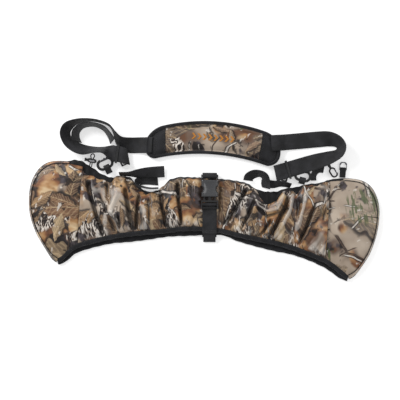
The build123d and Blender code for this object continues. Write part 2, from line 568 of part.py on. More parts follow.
def make_cord_lock():
    """The drawcord and its lock: an oval barrel, its sprung plunger and the spring inside."""
    barrel = stadium(-5.5, 5.5, 4.6, -4.2, 4.2)
    barrel = barrel.fillet(1.0, barrel.faces().sort_by(Axis.Z)[-1].edges())
    barrel = barrel - rod(3.1, (-9.0, 0, 0), (1, 0, 0), 20)
    barrel = barrel - stadium(-2.2, 2.2, 1.9, -8, 8).rotate(Axis.X, 90)
    save("lock_barrel", one_solid(barrel).moved(LOCK))
    plunger = rod(3.0, (-5.0, 0, 0), (1, 0, 0), 18.8) + rod(3.9, (13.7, 0, 0), (1, 0, 0), 2.4)
    plunger = plunger - stadium(-1.5, 5.3, 1.9, -8, 8).rotate(Axis.X, 90)
    save("lock_plunger", one_solid(plunger).moved(LOCK))
    coil = rod(2.6, (-8.9, 0, 0), (1, 0, 0), 0.8) - rod(1.8, (-9.5, 0, 0), (1, 0, 0), 3)
    save("lock_spring", one_solid(coil).moved(LOCK))
    path = limp_path(DRAWCORD)
    start = Plane(origin=path @ 0, z_dir=path % 0)
    cord = sweep(start * Circle(CORD_DIAMETER / 2), path=path)
    area = math.pi * CORD_DIAMETER ** 2 / 4
    print("cord length", round(path.length, 1), "volume share", round(cord.volume / area / path.length, 4))
    save("drawcord", one_solid(cord).moved(LOCK))


def main():
    make_fronts()
    make_backs()
    make_gussets()
    make_bindings()
    make_belt()
    make_female()
    make_male()
    make_pad()
    make_straps()
    make_keepers()
    make_hooks()
    make_tabs()
    make_cord_lock()


main()
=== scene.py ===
import math

import bmesh
import bpy
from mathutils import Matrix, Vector, noise
from mathutils.bvhtree import BVHTree


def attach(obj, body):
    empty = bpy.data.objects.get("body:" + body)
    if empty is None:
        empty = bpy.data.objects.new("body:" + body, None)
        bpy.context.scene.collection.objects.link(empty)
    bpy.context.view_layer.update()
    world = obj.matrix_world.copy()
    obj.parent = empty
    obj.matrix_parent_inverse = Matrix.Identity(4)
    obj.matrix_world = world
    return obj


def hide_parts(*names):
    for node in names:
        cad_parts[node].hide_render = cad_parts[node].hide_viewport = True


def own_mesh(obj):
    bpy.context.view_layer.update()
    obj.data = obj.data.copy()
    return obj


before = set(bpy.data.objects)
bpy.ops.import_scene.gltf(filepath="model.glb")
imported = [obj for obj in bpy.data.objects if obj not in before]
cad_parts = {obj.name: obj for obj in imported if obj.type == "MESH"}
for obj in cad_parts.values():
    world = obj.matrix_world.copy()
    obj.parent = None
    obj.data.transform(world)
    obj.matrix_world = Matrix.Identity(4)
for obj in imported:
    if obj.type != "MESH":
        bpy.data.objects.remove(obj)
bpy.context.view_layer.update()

bl_info = {
    "name": "Bow Sling",
    "version": (1, 0, 0),
    "blender": (4, 5, 0),
    "location": "View3D > Sidebar > Bow Sling",
    "description": "Builds a gathered camouflage bow sling round its packed frame",
    "category": "Object",
}

MM = 0.001
SEAM_X = 271.0             # seam between the sleeve and each cam pocket
MOUTH_END = 324            # where the mouth's edge ends, left and right

# All lists of places are in millimetres, in the frame's axes.
# Front panel's mouth edge for x >= 0: (x, y, height of the edge).
MOUTH = [(0, -48, 13.5), (40, -50, 13.5), (80, -57, 13.5), (120, -63, 13.5), (160, -69, 13.5),
         (200, -78, 13.5), (240, -90, 13.5), (271, -101, 13.5), (300, -115, 12), (324, -129, 9.5)]
# Sleeve front's scalloped top edge: (x, y).
SLEEVE_TOP = [(-271, 62), (-266, 53), (-254, 50), (-240, 45), (-222, 40), (-206, 38), (-197, 49),
              (-186, 53), (-176, 51), (-165, 45), (-150, 31), (-139, 20), (-128, 17), (-112, 21),
              (-102, 22), (-97, 31), (-88, 40), (-68, 52), (-50, 55), (0, 57), (50, 56), (70, 54),
              (90, 50), (103, 44), (112, 37), (120, 26), (128, 15), (137, 11), (148, 13), (157, 19),
              (163, 31), (170, 41), (180, 46), (191, 41), (200, 36), (208, 47), (216, 55), (228, 57),
              (240, 57), (252, 61), (262, 67), (271, 68)]
# Pocket front's top edge and outer side, from the seam round to the mouth's end, for x >= 0.
POCKET_EDGE = [(271, 68), (285, 70), (303, 72.5), (322, 72), (340, 69), (355, 60), (366, 47.5),
               (374, 31), (379, 11), (380.5, -8), (379, -30), (374, -55), (366, -79), (355, -100),
               (341, -119), (326, -129.5)]
# Pocket's outer silhouette, from the lining's end round to the tip: (x, y).
SILHOUETTE = [(300, 77.5), (326, 77.5), (348, 73), (366, 60), (378, 40), (384.5, 18), (386, -6),
              (384, -32), (378.5, -60), (370, -85), (357, -108), (342, -130), (330, -139)]
# Stretch lining's outer edge: (x, y).
LINING_TOP = [(-308, 77), (-290, 82), (-275, 80), (-262, 73), (-245, 64), (-235, 57), (-205, 48),
              (-192, 53), (-170, 52), (-150, 35), (-125, 22), (-100, 28), (-78, 52), (-50, 59),
              (0, 60), (50, 59), (90, 54), (103, 47), (115, 41), (135, 38), (155, 39), (175, 47),
              (200, 52), (225, 60), (250, 64), (271, 72), (290, 76), (306, 77)]
# How far the back binding hangs below the front one: (x, drop).
BACK_SAG = [(-324, 4), (-300, 10), (-271, 9.5), (-240, 9), (-200, 9.5), (-160, 12.5), (-120, 11),
            (-80, 8.5), (-40, 11), (0, 9), (30, 5), (48, 4), (80, 8.5), (120, 11.5), (160, 13),
            (200, 9.5), (240, 8.5), (271, 9.5), (300, 9.5), (324, 4)]

BELT_ORIGIN = (10.5, 18.0)
BELT_LEAN = 3.3            # degrees, anticlockwise from +Y
BELT_WIDTH = 31.5
SLING_WIDTH = 35.0
PAD_MARGIN = 5.2           # width of the pad's binding
WEB_THICKNESS = 1.5
BELT_SLOPE = 0.058         # how far the belt drifts to the left for each millimetre along it

# Thickness of each cloth.
FRONT_WALL = 1.3
GUSSET_WALL = 1.2
LINING_WALL = 0.9
BACK_WALL = 2.0
PAD_WALL = 0.6
PLATE_WALL = 0.6
FLAT_CLOTH = 0.35          # fold value of a cloth with no gathers

# Webbing routes: rows of (x, y, height, azimuth of the strap's width, tilt of its width).
SLING_LEFT = [(-122, 124.5, 13.6, 90, 0), (-129, 124, 11, 90, 0), (-138, 123.2, 6.5, 90, 0),
              (-150, 122.5, 4, 90, 0), (-170, 121, 6, 88, 12), (-186, 123, 12, 75, 35),
              (-197, 131, 17, 55, 58), (-206, 146, 19, 38, 78), (-218, 161, 19, 58, 84),
              (-240, 168.5, 19, 80, 85), (-265, 170, 19, 93, 84), (-290, 165, 18.5, 112, 77),
              (-308, 153, 17, 138, 61), (-313, 137, 16, 171, 56), (-304, 121, 17, 215, 50),
              (-288, 109.5, 18.5, 238, 48), (-268, 104, 18, 250, 50), (-245, 106, 19, 264, 66),
              (-227, 106.8, 19, 266, 64), (-214, 103.3, 18, 265, 34), (-206, 100.9, 17.05, 265, 2),
              (-202, 100.4, 17, 265, 0),
              (-196, 99.9, 17, 265, 0), (-190, 99.2, 17, 266, 0), (-184, 98, 16.6, 270, 0),
              (-174.5, 95.5, 13.5, 278, 0), (-172.6, 94.8, 9.2, 284, 0), (-175.5, 95.4, 5.8, 291, 0),
              (-181, 96.8, 5.1, 296, 0), (-187, 96, 5.1, 298, 0), (-190.6, 94.1, 8.5, 298, 0),
              (-187, 96, 11.8, 298, 0), (-180, 99.7, 11.9, 298, 0)]
SLING_LEFT_RETURN = [(-286, 121, 13, 172, 56), (-290, 132, 15, 170, 60), (-289, 145, 15, 155, 64),
                     (-276, 157.5, 15, 116, 72), (-252, 161, 15, 88, 76), (-230, 154, 15, 66, 72),
                     (-216, 139, 14.5, 52, 66), (-209, 127, 13.5, 45, 58)]
SLING_RIGHT = [(138, 144, 14.6, 97, 0), (152, 145.8, 13.8, 97, 0), (162, 147.2, 8.5, 97, 0),
               (172, 148.8, 4, 97, 0), (200, 153, 3, 98, 0), (240, 159, 4, 97, 6),
               (264, 161, 9, 88, 24), (282, 156, 15, 62, 48), (291, 145, 18, 15, 62),
               (287, 132, 18, -40, 58), (270, 122, 17, -62, 40), (242, 111.2, 17, -69, 18),
               (216, 101.7, 17, -70, 1), (208, 98.84, 17, -70, 0), (163, 82.6, 17, -70, 0),
               (155.5, 79.8, 15.8, -71, 0),
               (151.4, 78.4, 12, -73, 0), (152.4, 79, 8, -77, 0), (156.6, 80.8, 5.6, -84, 0),
               (163, 83.4, 5.1, -94, 0), (172.4, 84, 5.1, -100, 0), (176.3, 83.3, 8.5, -100, 0),
               (172.4, 84, 11.8, -100, 0), (165, 85.3, 11.9, -100, 0)]
LIMB_STRAP_LEFT = [(-190, 56.5, 13.5, 95, 76), (-168, 57.5, 15.5, 98, 70), (-150, 59.5, 19, 100, 46),
                   (-125, 63.5, 14, 100, 20), (-92, 68, 6, 96, 4)]
LIMB_STRAP_LEFT_TAIL = [(-105, 46.5, 1.2, 97, 0), (-125, 47, 1.2, 92, 0), (-140, 45.5, 2.6, 95, 6),
                        (-150, 41.5, 9, 140, 50), (-148, 35, 11.2, 215, 74), (-138, 31.5, 11.4, 250, 80),
                        (-120, 29.5, 11.4, 268, 82), (-103, 31, 11.4, 275, 82)]
LIMB_STRAP_RIGHT = [(93, 59, 10, 178, 24), (94, 67, 10, 150, 30), (104, 74, 11, 112, 40),
                    (118, 76, 12, 88, 56), (128, 71, 12, 45, 54), (131, 62, 11, 5, 44),
                    (131.5, 53, 10, -6, 40), (133, 45, 9, -12, 44)]
LIMB_STRAP_RIGHT_TAIL = [(139, 55, 5, 92, 12), (150, 54.5, 7, 96, 26), (162, 56.5, 8.6, 96, 46),
                         (174, 56, 9, 84, 54), (187, 53.6, 9, 72, 60)]
POCKET_STRAP = [(236, 68, 8.2, 185, 40), (235.5, 80, 8.2, 165, 38), (241, 90, 8.2, 130, 34),
                (249, 93.5, 8, 100, 36), (257, 92.5, 8, 88, 44)]
# Each webbing tab's (x, y, heading, where it starts along that heading).
TABS = {"tab_left": (-215.2, 64.1, 118, -8), "tab_right": (210.5, 62.1, 80, -3)}
# Middle of the ring's tab: (x, y, height).
RING_TAB = [(299.5, 78.6, 1.0), (299.5, 92, 1.0), (299.5, 97.5, 1.2), (299.5, 100.4, 4.2),
            (299.5, 97.5, 7.2), (299.5, 92, 7.0), (299.5, 78.6, 4.0)]

# The cord lock's place and heading, and its drawcord in the lock's own axes.
LOCK_PLACE = (-252, 82, 7)
LOCK_HEADING = 172
CORD_DIAMETER = 2.5
DRAWCORD = [(-1.6, 13.4, -1.2), (-1.5, 9.6, -0.6), (-1.3, 5.6, 0), (-1.3, -5.4, 0), (-3.4, -9, -0.6),
            (-3.3, -13, -1.2), (0.7, -16, -1.4), (4.9, -13, -1.2), (4.8, -9, -0.6), (2.7, -5.4, 0),
            (2.7, 5.6, 0), (2.9, 9.6, -0.6), (3.1, 13.4, -1.2)]


# ---- plain geometry ----------------------------------------------------------------------
def lerp(a, b, share):
    return a + (b - a) * share


def ease(value, low, high):
    """0 below low, 1 above high and a smooth step between them."""
    share = min(1.0, max(0.0, (value - low) / (high - low)))
    return share * share * (3 - 2 * share)


def curve_at(points, x, column=1):
    """The column of a list sorted by x, at x, on a smooth curve through its rows."""
    x = min(max(x, points[0][0]), points[-1][0])
    i = 0
    while i < len(points) - 2 and points[i + 1][0] < x:
        i += 1
    slopes = [(b[column] - a[column]) / (b[0] - a[0]) for a, b in zip(points, points[1:])]

    def tangent(k):
        if k == 0 or k == len(points) - 1:
            return slopes[min(k, len(slopes) - 1)]
        before, after = slopes[k - 1], slopes[k]
        if before * after <= 0:
            return 0.0
        return 2 * before * after / (before + after)

    a, b = points[i], points[i + 1]
    run = b[0] - a[0]
    t = (x - a[0]) / run
    rise = a[column] * (2 * t**3 - 3 * t**2 + 1) + b[column] * (3 * t**2 - 2 * t**3)
    return rise + run * (tangent(i) * (t**3 - 2 * t**2 + t) + tangent(i + 1) * (t**3 - t**2))


def mirrored(points):
    """A list for x >= 0 completed by its mirror image, in order of x."""
    left = [(-row[0], *row[1:]) for row in reversed(points) if row[0] > 0]
    return left + list(points)


def flowing(rows, step):
    """Rows of numbers resampled about a step apart along a smooth curve through them. A row
    starts with a place, and whatever follows it is carried along."""
    result = []
    last = len(rows) - 1
    for i in range(last):
        length = (Vector(rows[i + 1][:3]) - Vector(rows[i][:3])).length
        pieces = max(1, round(length / step))
        four = [rows[min(max(i + k, 0), last)] for k in (-1, 0, 1, 2)]
        for j in range(pieces):
            t = j / pieces
            result.append([0.5 * (2 * a + (b - before) * t + (2 * before - 5 * a + 4 * b - after) * t**2
                                  + (3 * a - before - 3 * b + after) * t**3)
                           for before, a, b, after in zip(*four)])
    result.append(list(rows[last]))
    return result


def inset_line(points, distance):
    """Each point of a closed outline moved square to it, to the right of its direction."""
    moved = []
    for i, point in enumerate(points):
        ahead, behind = points[(i + 1) % len(points)], points[i - 1]
        dx, dy = ahead[0] - behind[0], ahead[1] - behind[1]
        length = math.hypot(dx, dy)
        moved.append(Vector((point[0] + dy / length * distance, point[1] - dx / length * distance)))
    return moved


def wander(x, y, size, seed=0.0):
    """Smooth noise from -1 to 1 with features about size millimetres long."""
    return noise.noise(Vector((x / size, y / size, seed * 7.31)))


def tuck(point):
    """The cover's two lower tips hang a little further, and the left one turns inwards."""
    x, y, z = point
    share = ease(abs(x), 268, 326) * ease(-y, 30, 132)
    inwards = 13 if x < 0 else 2
    drop = 7 if x < 0 else 5
    return x - math.copysign(inwards * share, x), y - drop * share, z


# ---- meshes ------------------------------------------------------------------------------
def new_piece(name, verts, faces, material, uvs=None, body="cover"):
    """A smooth-shaded mesh from points in millimetres, riding on a body."""
    mesh = bpy.data.meshes.new(name)
    mesh.from_pydata([Vector(tuck(v)) * MM for v in verts], [], faces)
    mesh.validate()
    for polygon in mesh.polygons:
        polygon.use_smooth = True
    if uvs is not None:
        layer = mesh.uv_layers.new(name="cloth")
        for loop in mesh.loops:
            layer.data[loop.index].uv = Vector(uvs[loop.vertex_index]) * MM
    piece = bpy.data.objects.new(name, mesh)
    bpy.context.scene.collection.objects.link(piece)
    mesh.materials.append(material)
    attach(piece, body)
    return piece


def grid_faces(rows, columns):
    """Quads of a grid of points stored row by row."""
    faces = []
    for i in range(rows - 1):
        for j in range(columns - 1):
            a, b = i * columns + j, (i + 1) * columns + j
            faces.append((a, b, b + 1, a + 1))
    return faces


def point_outwards(piece):
    """Merge doubles and turn every face of a closed mesh outwards."""
    shape = bmesh.new()
    shape.from_mesh(piece.data)
    bmesh.ops.remove_doubles(shape, verts=shape.verts, dist=1e-6)
    bmesh.ops.recalc_face_normals(shape, faces=shape.faces)
    shape.to_mesh(piece.data)
    shape.free()


def turn_up_and_thicken(piece, wall):
    """Merge doubles, turn a cloth's face upwards and thicken it away from its face."""
    shape = bmesh.new()
    shape.from_mesh(piece.data)
    bmesh.ops.remove_doubles(shape, verts=shape.verts, dist=1e-5)
    if sum(face.normal.z * face.calc_area() for face in shape.faces) < 0:
        bmesh.ops.reverse_faces(shape, faces=shape.faces)
    shape.to_mesh(piece.data)
    shape.free()
    thick = piece.modifiers.new("wall", "SOLIDIFY")
    thick.thickness = wall * MM
    thick.offset = -1


def fabric_panel(name, grid, wall, material, nodes, folds=None):
    """A cloth panel from a grid of points, thickened away from its face. folds gives each point's place on
    its fold, from -1 in a valley to 1 on a ridge; it is stored as the fold attribute, from which the
    camouflage paints shade into the valleys and a highlight onto the ridges, and the pockets lower it
    along their seams for painted shade."""
    rows, columns = len(grid), len(grid[0])
    verts = [point for row in grid for point in row]
    uvs = [(x + 0.6 * z, y - 0.8 * z) for x, y, z in verts]
    piece = new_piece(name, verts, grid_faces(rows, columns), material, uvs)
    depth = piece.data.attributes.new("fold", "FLOAT", "POINT")
    depth.data.foreach_set("value", folds or [FLAT_CLOTH] * len(verts))
    turn_up_and_thicken(piece, wall)
    finish_piece(piece, nodes)
    return piece


def finish_piece(piece, nodes=()):
    """Hide the CAD nodes that a piece stands for."""
    if nodes:
        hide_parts(*nodes)
    return piece


def tube_section(width, height, count=14, square=2.6):
    """Points round a rounded oblong, width across and height up."""
    section = []
    for k in range(count):
        angle = 2 * math.pi * k / count
        c, s = math.cos(angle), math.sin(angle)
        section.append((math.copysign(abs(c) ** (2 / square), c) * width / 2,
                        math.copysign(abs(s) ** (2 / square), s) * height / 2))
    return section


def swept(name, centres, sides, section_at, material, closed=False, body="cover"):
    """A solid whose section, a list of (across, up) points, is carried along centres.
    sides holds the unit direction across the piece at each centre."""
    verts, uvs, count, along = [], [], 0, 0.0
    last = len(centres) - 1
    for i, (centre, side) in enumerate(zip(centres, sides)):
        if closed:
            ahead = centres[(i + 1) % len(centres)] - centres[i - 1]
        else:
            ahead = centres[min(i + 1, last)] - centres[max(i - 1, 0)]
        up = ahead.normalized().cross(side).normalized()
        if i:
            along += (centre - centres[i - 1]).length
        section = section_at(i)
        count = len(section)
        for across, rise in section:
            verts.append(centre + side * across + up * rise)
            uvs.append((along, across))
    faces = []
    spans = len(centres) if closed else last
    for i in range(spans):
        for j in range(count):
            a, b = i * count + j, ((i + 1) % len(centres)) * count + j
            c, d = i * count + (j + 1) % count, ((i + 1) % len(centres)) * count + (j + 1) % count
            faces.append((a, b, d, c))
    if not closed:
        faces.append(tuple(range(count)))
        faces.append(tuple(reversed(range(last * count, last * count + count))))
    piece = new_piece(name, verts, faces, material, uvs, body)
    point_outwards(piece)
    return piece


def strap_section(width, thickness, cells=10):
    """A flat strap's outline with rounded selvedges."""
    half, low = width / 2, thickness / 2
    top = []
    for k in range(cells + 1):
        share = -1 + 2 * k / cells
        lift = 1.0 if abs(share) < 0.9 else 0.45
        top.append((share * half, low * lift))
    inner = [(-half * 0.985, low), (half * 0.985, low)]
    top = [top[0], inner[0], *top[1:-1], inner[1], top[-1]]
    return top + [(x, -y) for x, y in reversed(top)]


def strap(name, route, width, nodes, thickness=WEB_THICKNESS, body="cover", step=2.5):
    """Webbing along a route of (x, y, z, azimuth, tilt); the last two aim its width."""
    rows = []
    for x, y, z, azimuth, tilt in route:
        level = math.cos(math.radians(tilt))
        rows.append((x, y, z, level * math.cos(math.radians(azimuth)),
                     level * math.sin(math.radians(azimuth)), math.sin(math.radians(tilt))))
    smooth = flowing(rows, step)
    centres = [Vector(row[:3]) for row in smooth]
    sides = [Vector(row[3:]).normalized() for row in smooth]
    section = strap_section(width, thickness)
    piece = swept(name, centres, sides, lambda i: section, FINISHES["webbing"], body=body)
    return finish_piece(piece, nodes)


# ---- shader nodes ------------------------------------------------------------------------
def linear(red, green, blue):
    """A display colour, 0 to 255 a channel, as the linear colour that a shader takes."""
    channels = []
    for value in (red, green, blue):
        share = value / 255
        channels.append(share / 12.92 if share <= 0.04045 else ((share + 0.055) / 1.055) ** 2.4)
    return (*channels, 1.0)


def toned(tone, factor, lift=0.0):
    """A colour made lighter or darker."""
    return tuple(min(1.0, c * factor + lift) for c in tone[:3]) + (1.0,)


class Finish:
    """A material whose node tree is put together a step at a time."""

    def __init__(self, name, roughness, **sockets):
        self.material = bpy.data.materials.new(name)
        self.material.use_nodes = True
        self.tree = self.material.node_tree
        self.tree.nodes.clear()
        output = self.tree.nodes.new("ShaderNodeOutputMaterial")
        self.shader = self.tree.nodes.new("ShaderNodeBsdfPrincipled")
        self.tree.links.new(self.shader.outputs[0], output.inputs[0])
        self.shader.inputs["Roughness"].default_value = roughness
        for socket, value in sockets.items():
            self.shader.inputs[socket.replace("_", " ")].default_value = value
        self.where = self.tree.nodes.new("ShaderNodeTexCoord").outputs["Object"]
        self.cloth = None

    def node(self, kind, values=None, **settings):
        made = self.tree.nodes.new(kind)
        for key, value in settings.items():
            setattr(made, key, value)
        for socket, value in (values or {}).items():
            if isinstance(value, bpy.types.NodeSocket):
                self.tree.links.new(value, made.inputs[socket])
            else:
                made.inputs[socket].default_value = value
        return made

    def uv(self):
        if self.cloth is None:
            self.cloth = self.node("ShaderNodeUVMap", uv_map="cloth").outputs[0]
        return self.cloth

    def sums(self, operation, a, b=0.0, c=0.0):
        return self.node("ShaderNodeMath", {0: a, 1: b, 2: c}, operation=operation).outputs[0]

    def times(self, a, b):
        return self.sums("MULTIPLY", a, b)

    def plus(self, a, b):
        return self.sums("ADD", a, b)

    def minus(self, a, b):
        return self.sums("SUBTRACT", a, b)

    def times_plus(self, a, b, c):
        return self.sums("MULTIPLY_ADD", a, b, c)

    def sine(self, value):
        return self.sums("SINE", value)

    def vector(self, operation, a, b=(0, 0, 0)):
        return self.node("ShaderNodeVectorMath", {0: a, 1: b}, operation=operation).outputs[0]

    def placed(self, where, move=(0, 0, 0), turn=0.0, scale=(1, 1, 1)):
        return self.node("ShaderNodeMapping", {"Vector": where, "Location": move,
                                               "Rotation": (0, 0, turn), "Scale": scale}).outputs[0]

    def axes(self, where):
        made = self.node("ShaderNodeSeparateXYZ", {0: where})
        return made.outputs[0], made.outputs[1], made.outputs[2]

    def noise(self, where, scale, detail=2.0, roughness=0.5):
        return self.node("ShaderNodeTexNoise", {"Vector": where, "Scale": scale, "Detail": detail,
                                                "Roughness": roughness}).outputs[0]

    def cells(self, where, scale, feature="F1", randomness=1.0):
        return self.node("ShaderNodeTexVoronoi", {"Vector": where, "Scale": scale,
                                                  "Randomness": randomness},
                         feature=feature, voronoi_dimensions="2D")

    def step(self, value, low, high, start=0.0, end=1.0):
        return self.node("ShaderNodeMapRange", {"Value": value, 1: low, 2: high, 3: start, 4: end},
                         interpolation_type="SMOOTHSTEP").outputs[0]

    def mix(self, share, a, b):
        return self.node("ShaderNodeMix", {0: share, 6: a, 7: b}, data_type="RGBA").outputs[2]

    def ramp(self, value, stops, smooth=False):
        made = self.node("ShaderNodeValToRGB", {0: value})
        band = made.color_ramp
        band.interpolation = "LINEAR" if smooth else "CONSTANT"
        while len(band.elements) < len(stops):
            band.elements.new(0.5)
        for element, (place, colour) in zip(band.elements, stops):
            element.position = place
            element.color = colour
        return made.outputs[0]

    def paint(self, colour):
        self.tree.links.new(colour, self.shader.inputs["Base Color"])

    def bump(self, height, strength, distance):
        made = self.node("ShaderNodeBump", {"Height": height, "Strength": strength,
                                            "Distance": distance})
        self.tree.links.new(made.outputs[0], self.shader.inputs["Normal"])

    def rough(self, value):
        self.tree.links.new(value, self.shader.inputs["Roughness"])


BARK_DARK = linear(22, 15, 15)
SHADOW = linear(48, 37, 36)
UMBER = linear(72, 52, 42)
BROWN = linear(110, 76, 54)
RUST = linear(134, 88, 58)
GOLD = linear(182, 138, 92)
PALE_GOLD = linear(218, 190, 150)
TAUPE = linear(122, 105, 93)
KHAKI = linear(174, 156, 138)
BEIGE = linear(204, 188, 170)
BONE = linear(238, 230, 220)
GREEN = linear(82, 94, 52)
PINKISH = linear(172, 138, 120)
SLATE = linear(70, 62, 68)


def leaves(f, where, under, size, shift, tones, present, shape=(0.52, 0.17), lobes=0.12):
    """One leaf in each cell of a jittered grid: a curved oval with a midrib and side veins,
    a light and a dark half, and a shadow along one side."""
    where = f.placed(where, move=shift)
    cell = f.cells(where, 1 / size, randomness=0.9)
    local = f.vector("SUBTRACT", where, cell.outputs["Position"])
    local = f.placed(local, scale=(1 / size, 1 / size, 0))
    chance = f.node("ShaderNodeSeparateColor", {0: cell.outputs["Color"]})
    angle = f.times(chance.outputs[0], 2 * math.pi)
    turned = f.node("ShaderNodeVectorRotate", {"Vector": local, "Angle": angle},
                    rotation_type="Z_AXIS").outputs[0]
    along, across, _ = f.axes(turned)
    bend = f.times(f.times(along, along),
                  f.minus(chance.outputs[1], 0.5))
    ragged = f.times_plus(f.noise(where, 9 / size, 3.0), 0.11, -0.055)
    across = f.plus(f.plus(across, bend), ragged)
    share = f.sums("DIVIDE", along, shape[0])
    hollow = f.minus(1.0, f.times(share, share))
    wavy = f.times_plus(f.sine(f.times(along, 22.0)), lobes, 1.0)
    half = f.times(f.times(hollow, shape[1]), wavy)
    off = f.sums("ABSOLUTE", across)
    inside = f.step(f.minus(half, off), -0.005, 0.02)
    beside = f.sums("ABSOLUTE", f.plus(across, 0.05))
    shade = f.step(f.minus(f.plus(half, 0.03), beside), -0.05, 0.05)
    kept = f.sums("LESS_THAN", chance.outputs[2], present)
    midrib = f.step(off, 0.004, 0.016, 1.0, 0.0)
    veins = f.sine(f.times(f.minus(along, off), 60.0))
    veins = f.times(f.step(veins, 0.2, 1.0), 0.4)
    tone = f.ramp(chance.outputs[1], tones)
    streak = f.noise(f.placed(turned, scale=(2.5, 14, 1)), 1.0, 4.0, 0.7)
    tone = f.mix(f.step(streak, 0.33, 0.7), f.mix(0.62, tone, SHADOW), f.mix(0.3, tone, PALE_GOLD))
    dark_half = f.mix(0.5, tone, UMBER)
    tone = f.mix(f.step(across, -0.02, 0.03), dark_half, tone)
    tone = f.mix(f.times(f.sums("MAXIMUM", midrib, veins), 0.6), tone, PALE_GOLD)
    under = f.mix(f.times(f.times(shade, kept), 0.85), under, BARK_DARK)
    return f.mix(f.times(inside, kept), under, tone)


def twigs(f, where, under, size, width, shift, turn, squeeze, core, cover):
    """Branching twigs with dark rims, on the borders of stretched cells."""
    wave = f.node("ShaderNodeTexNoise", {"Vector": where, "Scale": 16.0, "Detail": 2.0}).outputs[1]
    sway = f.vector("MULTIPLY", f.vector("SUBTRACT", wave, (0.5, 0.5, 0.5)), (0.018, 0.018, 0.0))
    warped = f.placed(f.vector("ADD", where, sway), move=shift, turn=turn, scale=(1, squeeze, 1))
    edge = f.cells(warped, 1 / size, "DISTANCE_TO_EDGE").outputs["Distance"]
    near = f.times(edge, size)
    wide = f.times(f.noise(where, 30.0), 2 * width)
    rim = f.step(f.minus(near, wide), 0.0, 0.9 * width, 1.0, 0.0)
    line = f.step(f.minus(near, f.times(wide, 0.5)), 0.0, 0.3 * width, 1.0, 0.0)
    patch = f.noise(f.placed(where, move=(shift[1], shift[0], 0)), 14.0, 1.0)
    shown = f.step(patch, cover, cover + 0.04)
    under = f.mix(f.times(f.times(rim, shown), 0.9), under, BARK_DARK)
    grain = f.noise(warped, 260.0, 2.0)
    core = f.mix(f.step(grain, 0.4, 0.65), f.mix(0.4, core, TAUPE), core)
    return f.mix(f.times(line, shown), under, core)


def bark(f, where, under, turn, shift, cover):
    """Patches of furrowed grey bark: dark wandering furrows between pale ridges."""
    place = f.placed(where, move=shift, turn=turn, scale=(2.4, 1, 1))
    furrow = f.noise(place, 24.0, 3.0, 0.55)
    rings = f.sine(f.times(furrow, 46.0))
    grey = f.ramp(f.times_plus(rings, 0.5, 0.5),
                  [(0.0, BARK_DARK), (0.22, SHADOW), (0.4, TAUPE), (0.62, KHAKI), (0.86, BONE)], True)
    patch = f.noise(f.placed(where, move=(shift[1], shift[0], 0)), 11.0, 2.0)
    return f.mix(f.step(patch, cover, cover + 0.04), under, grey)


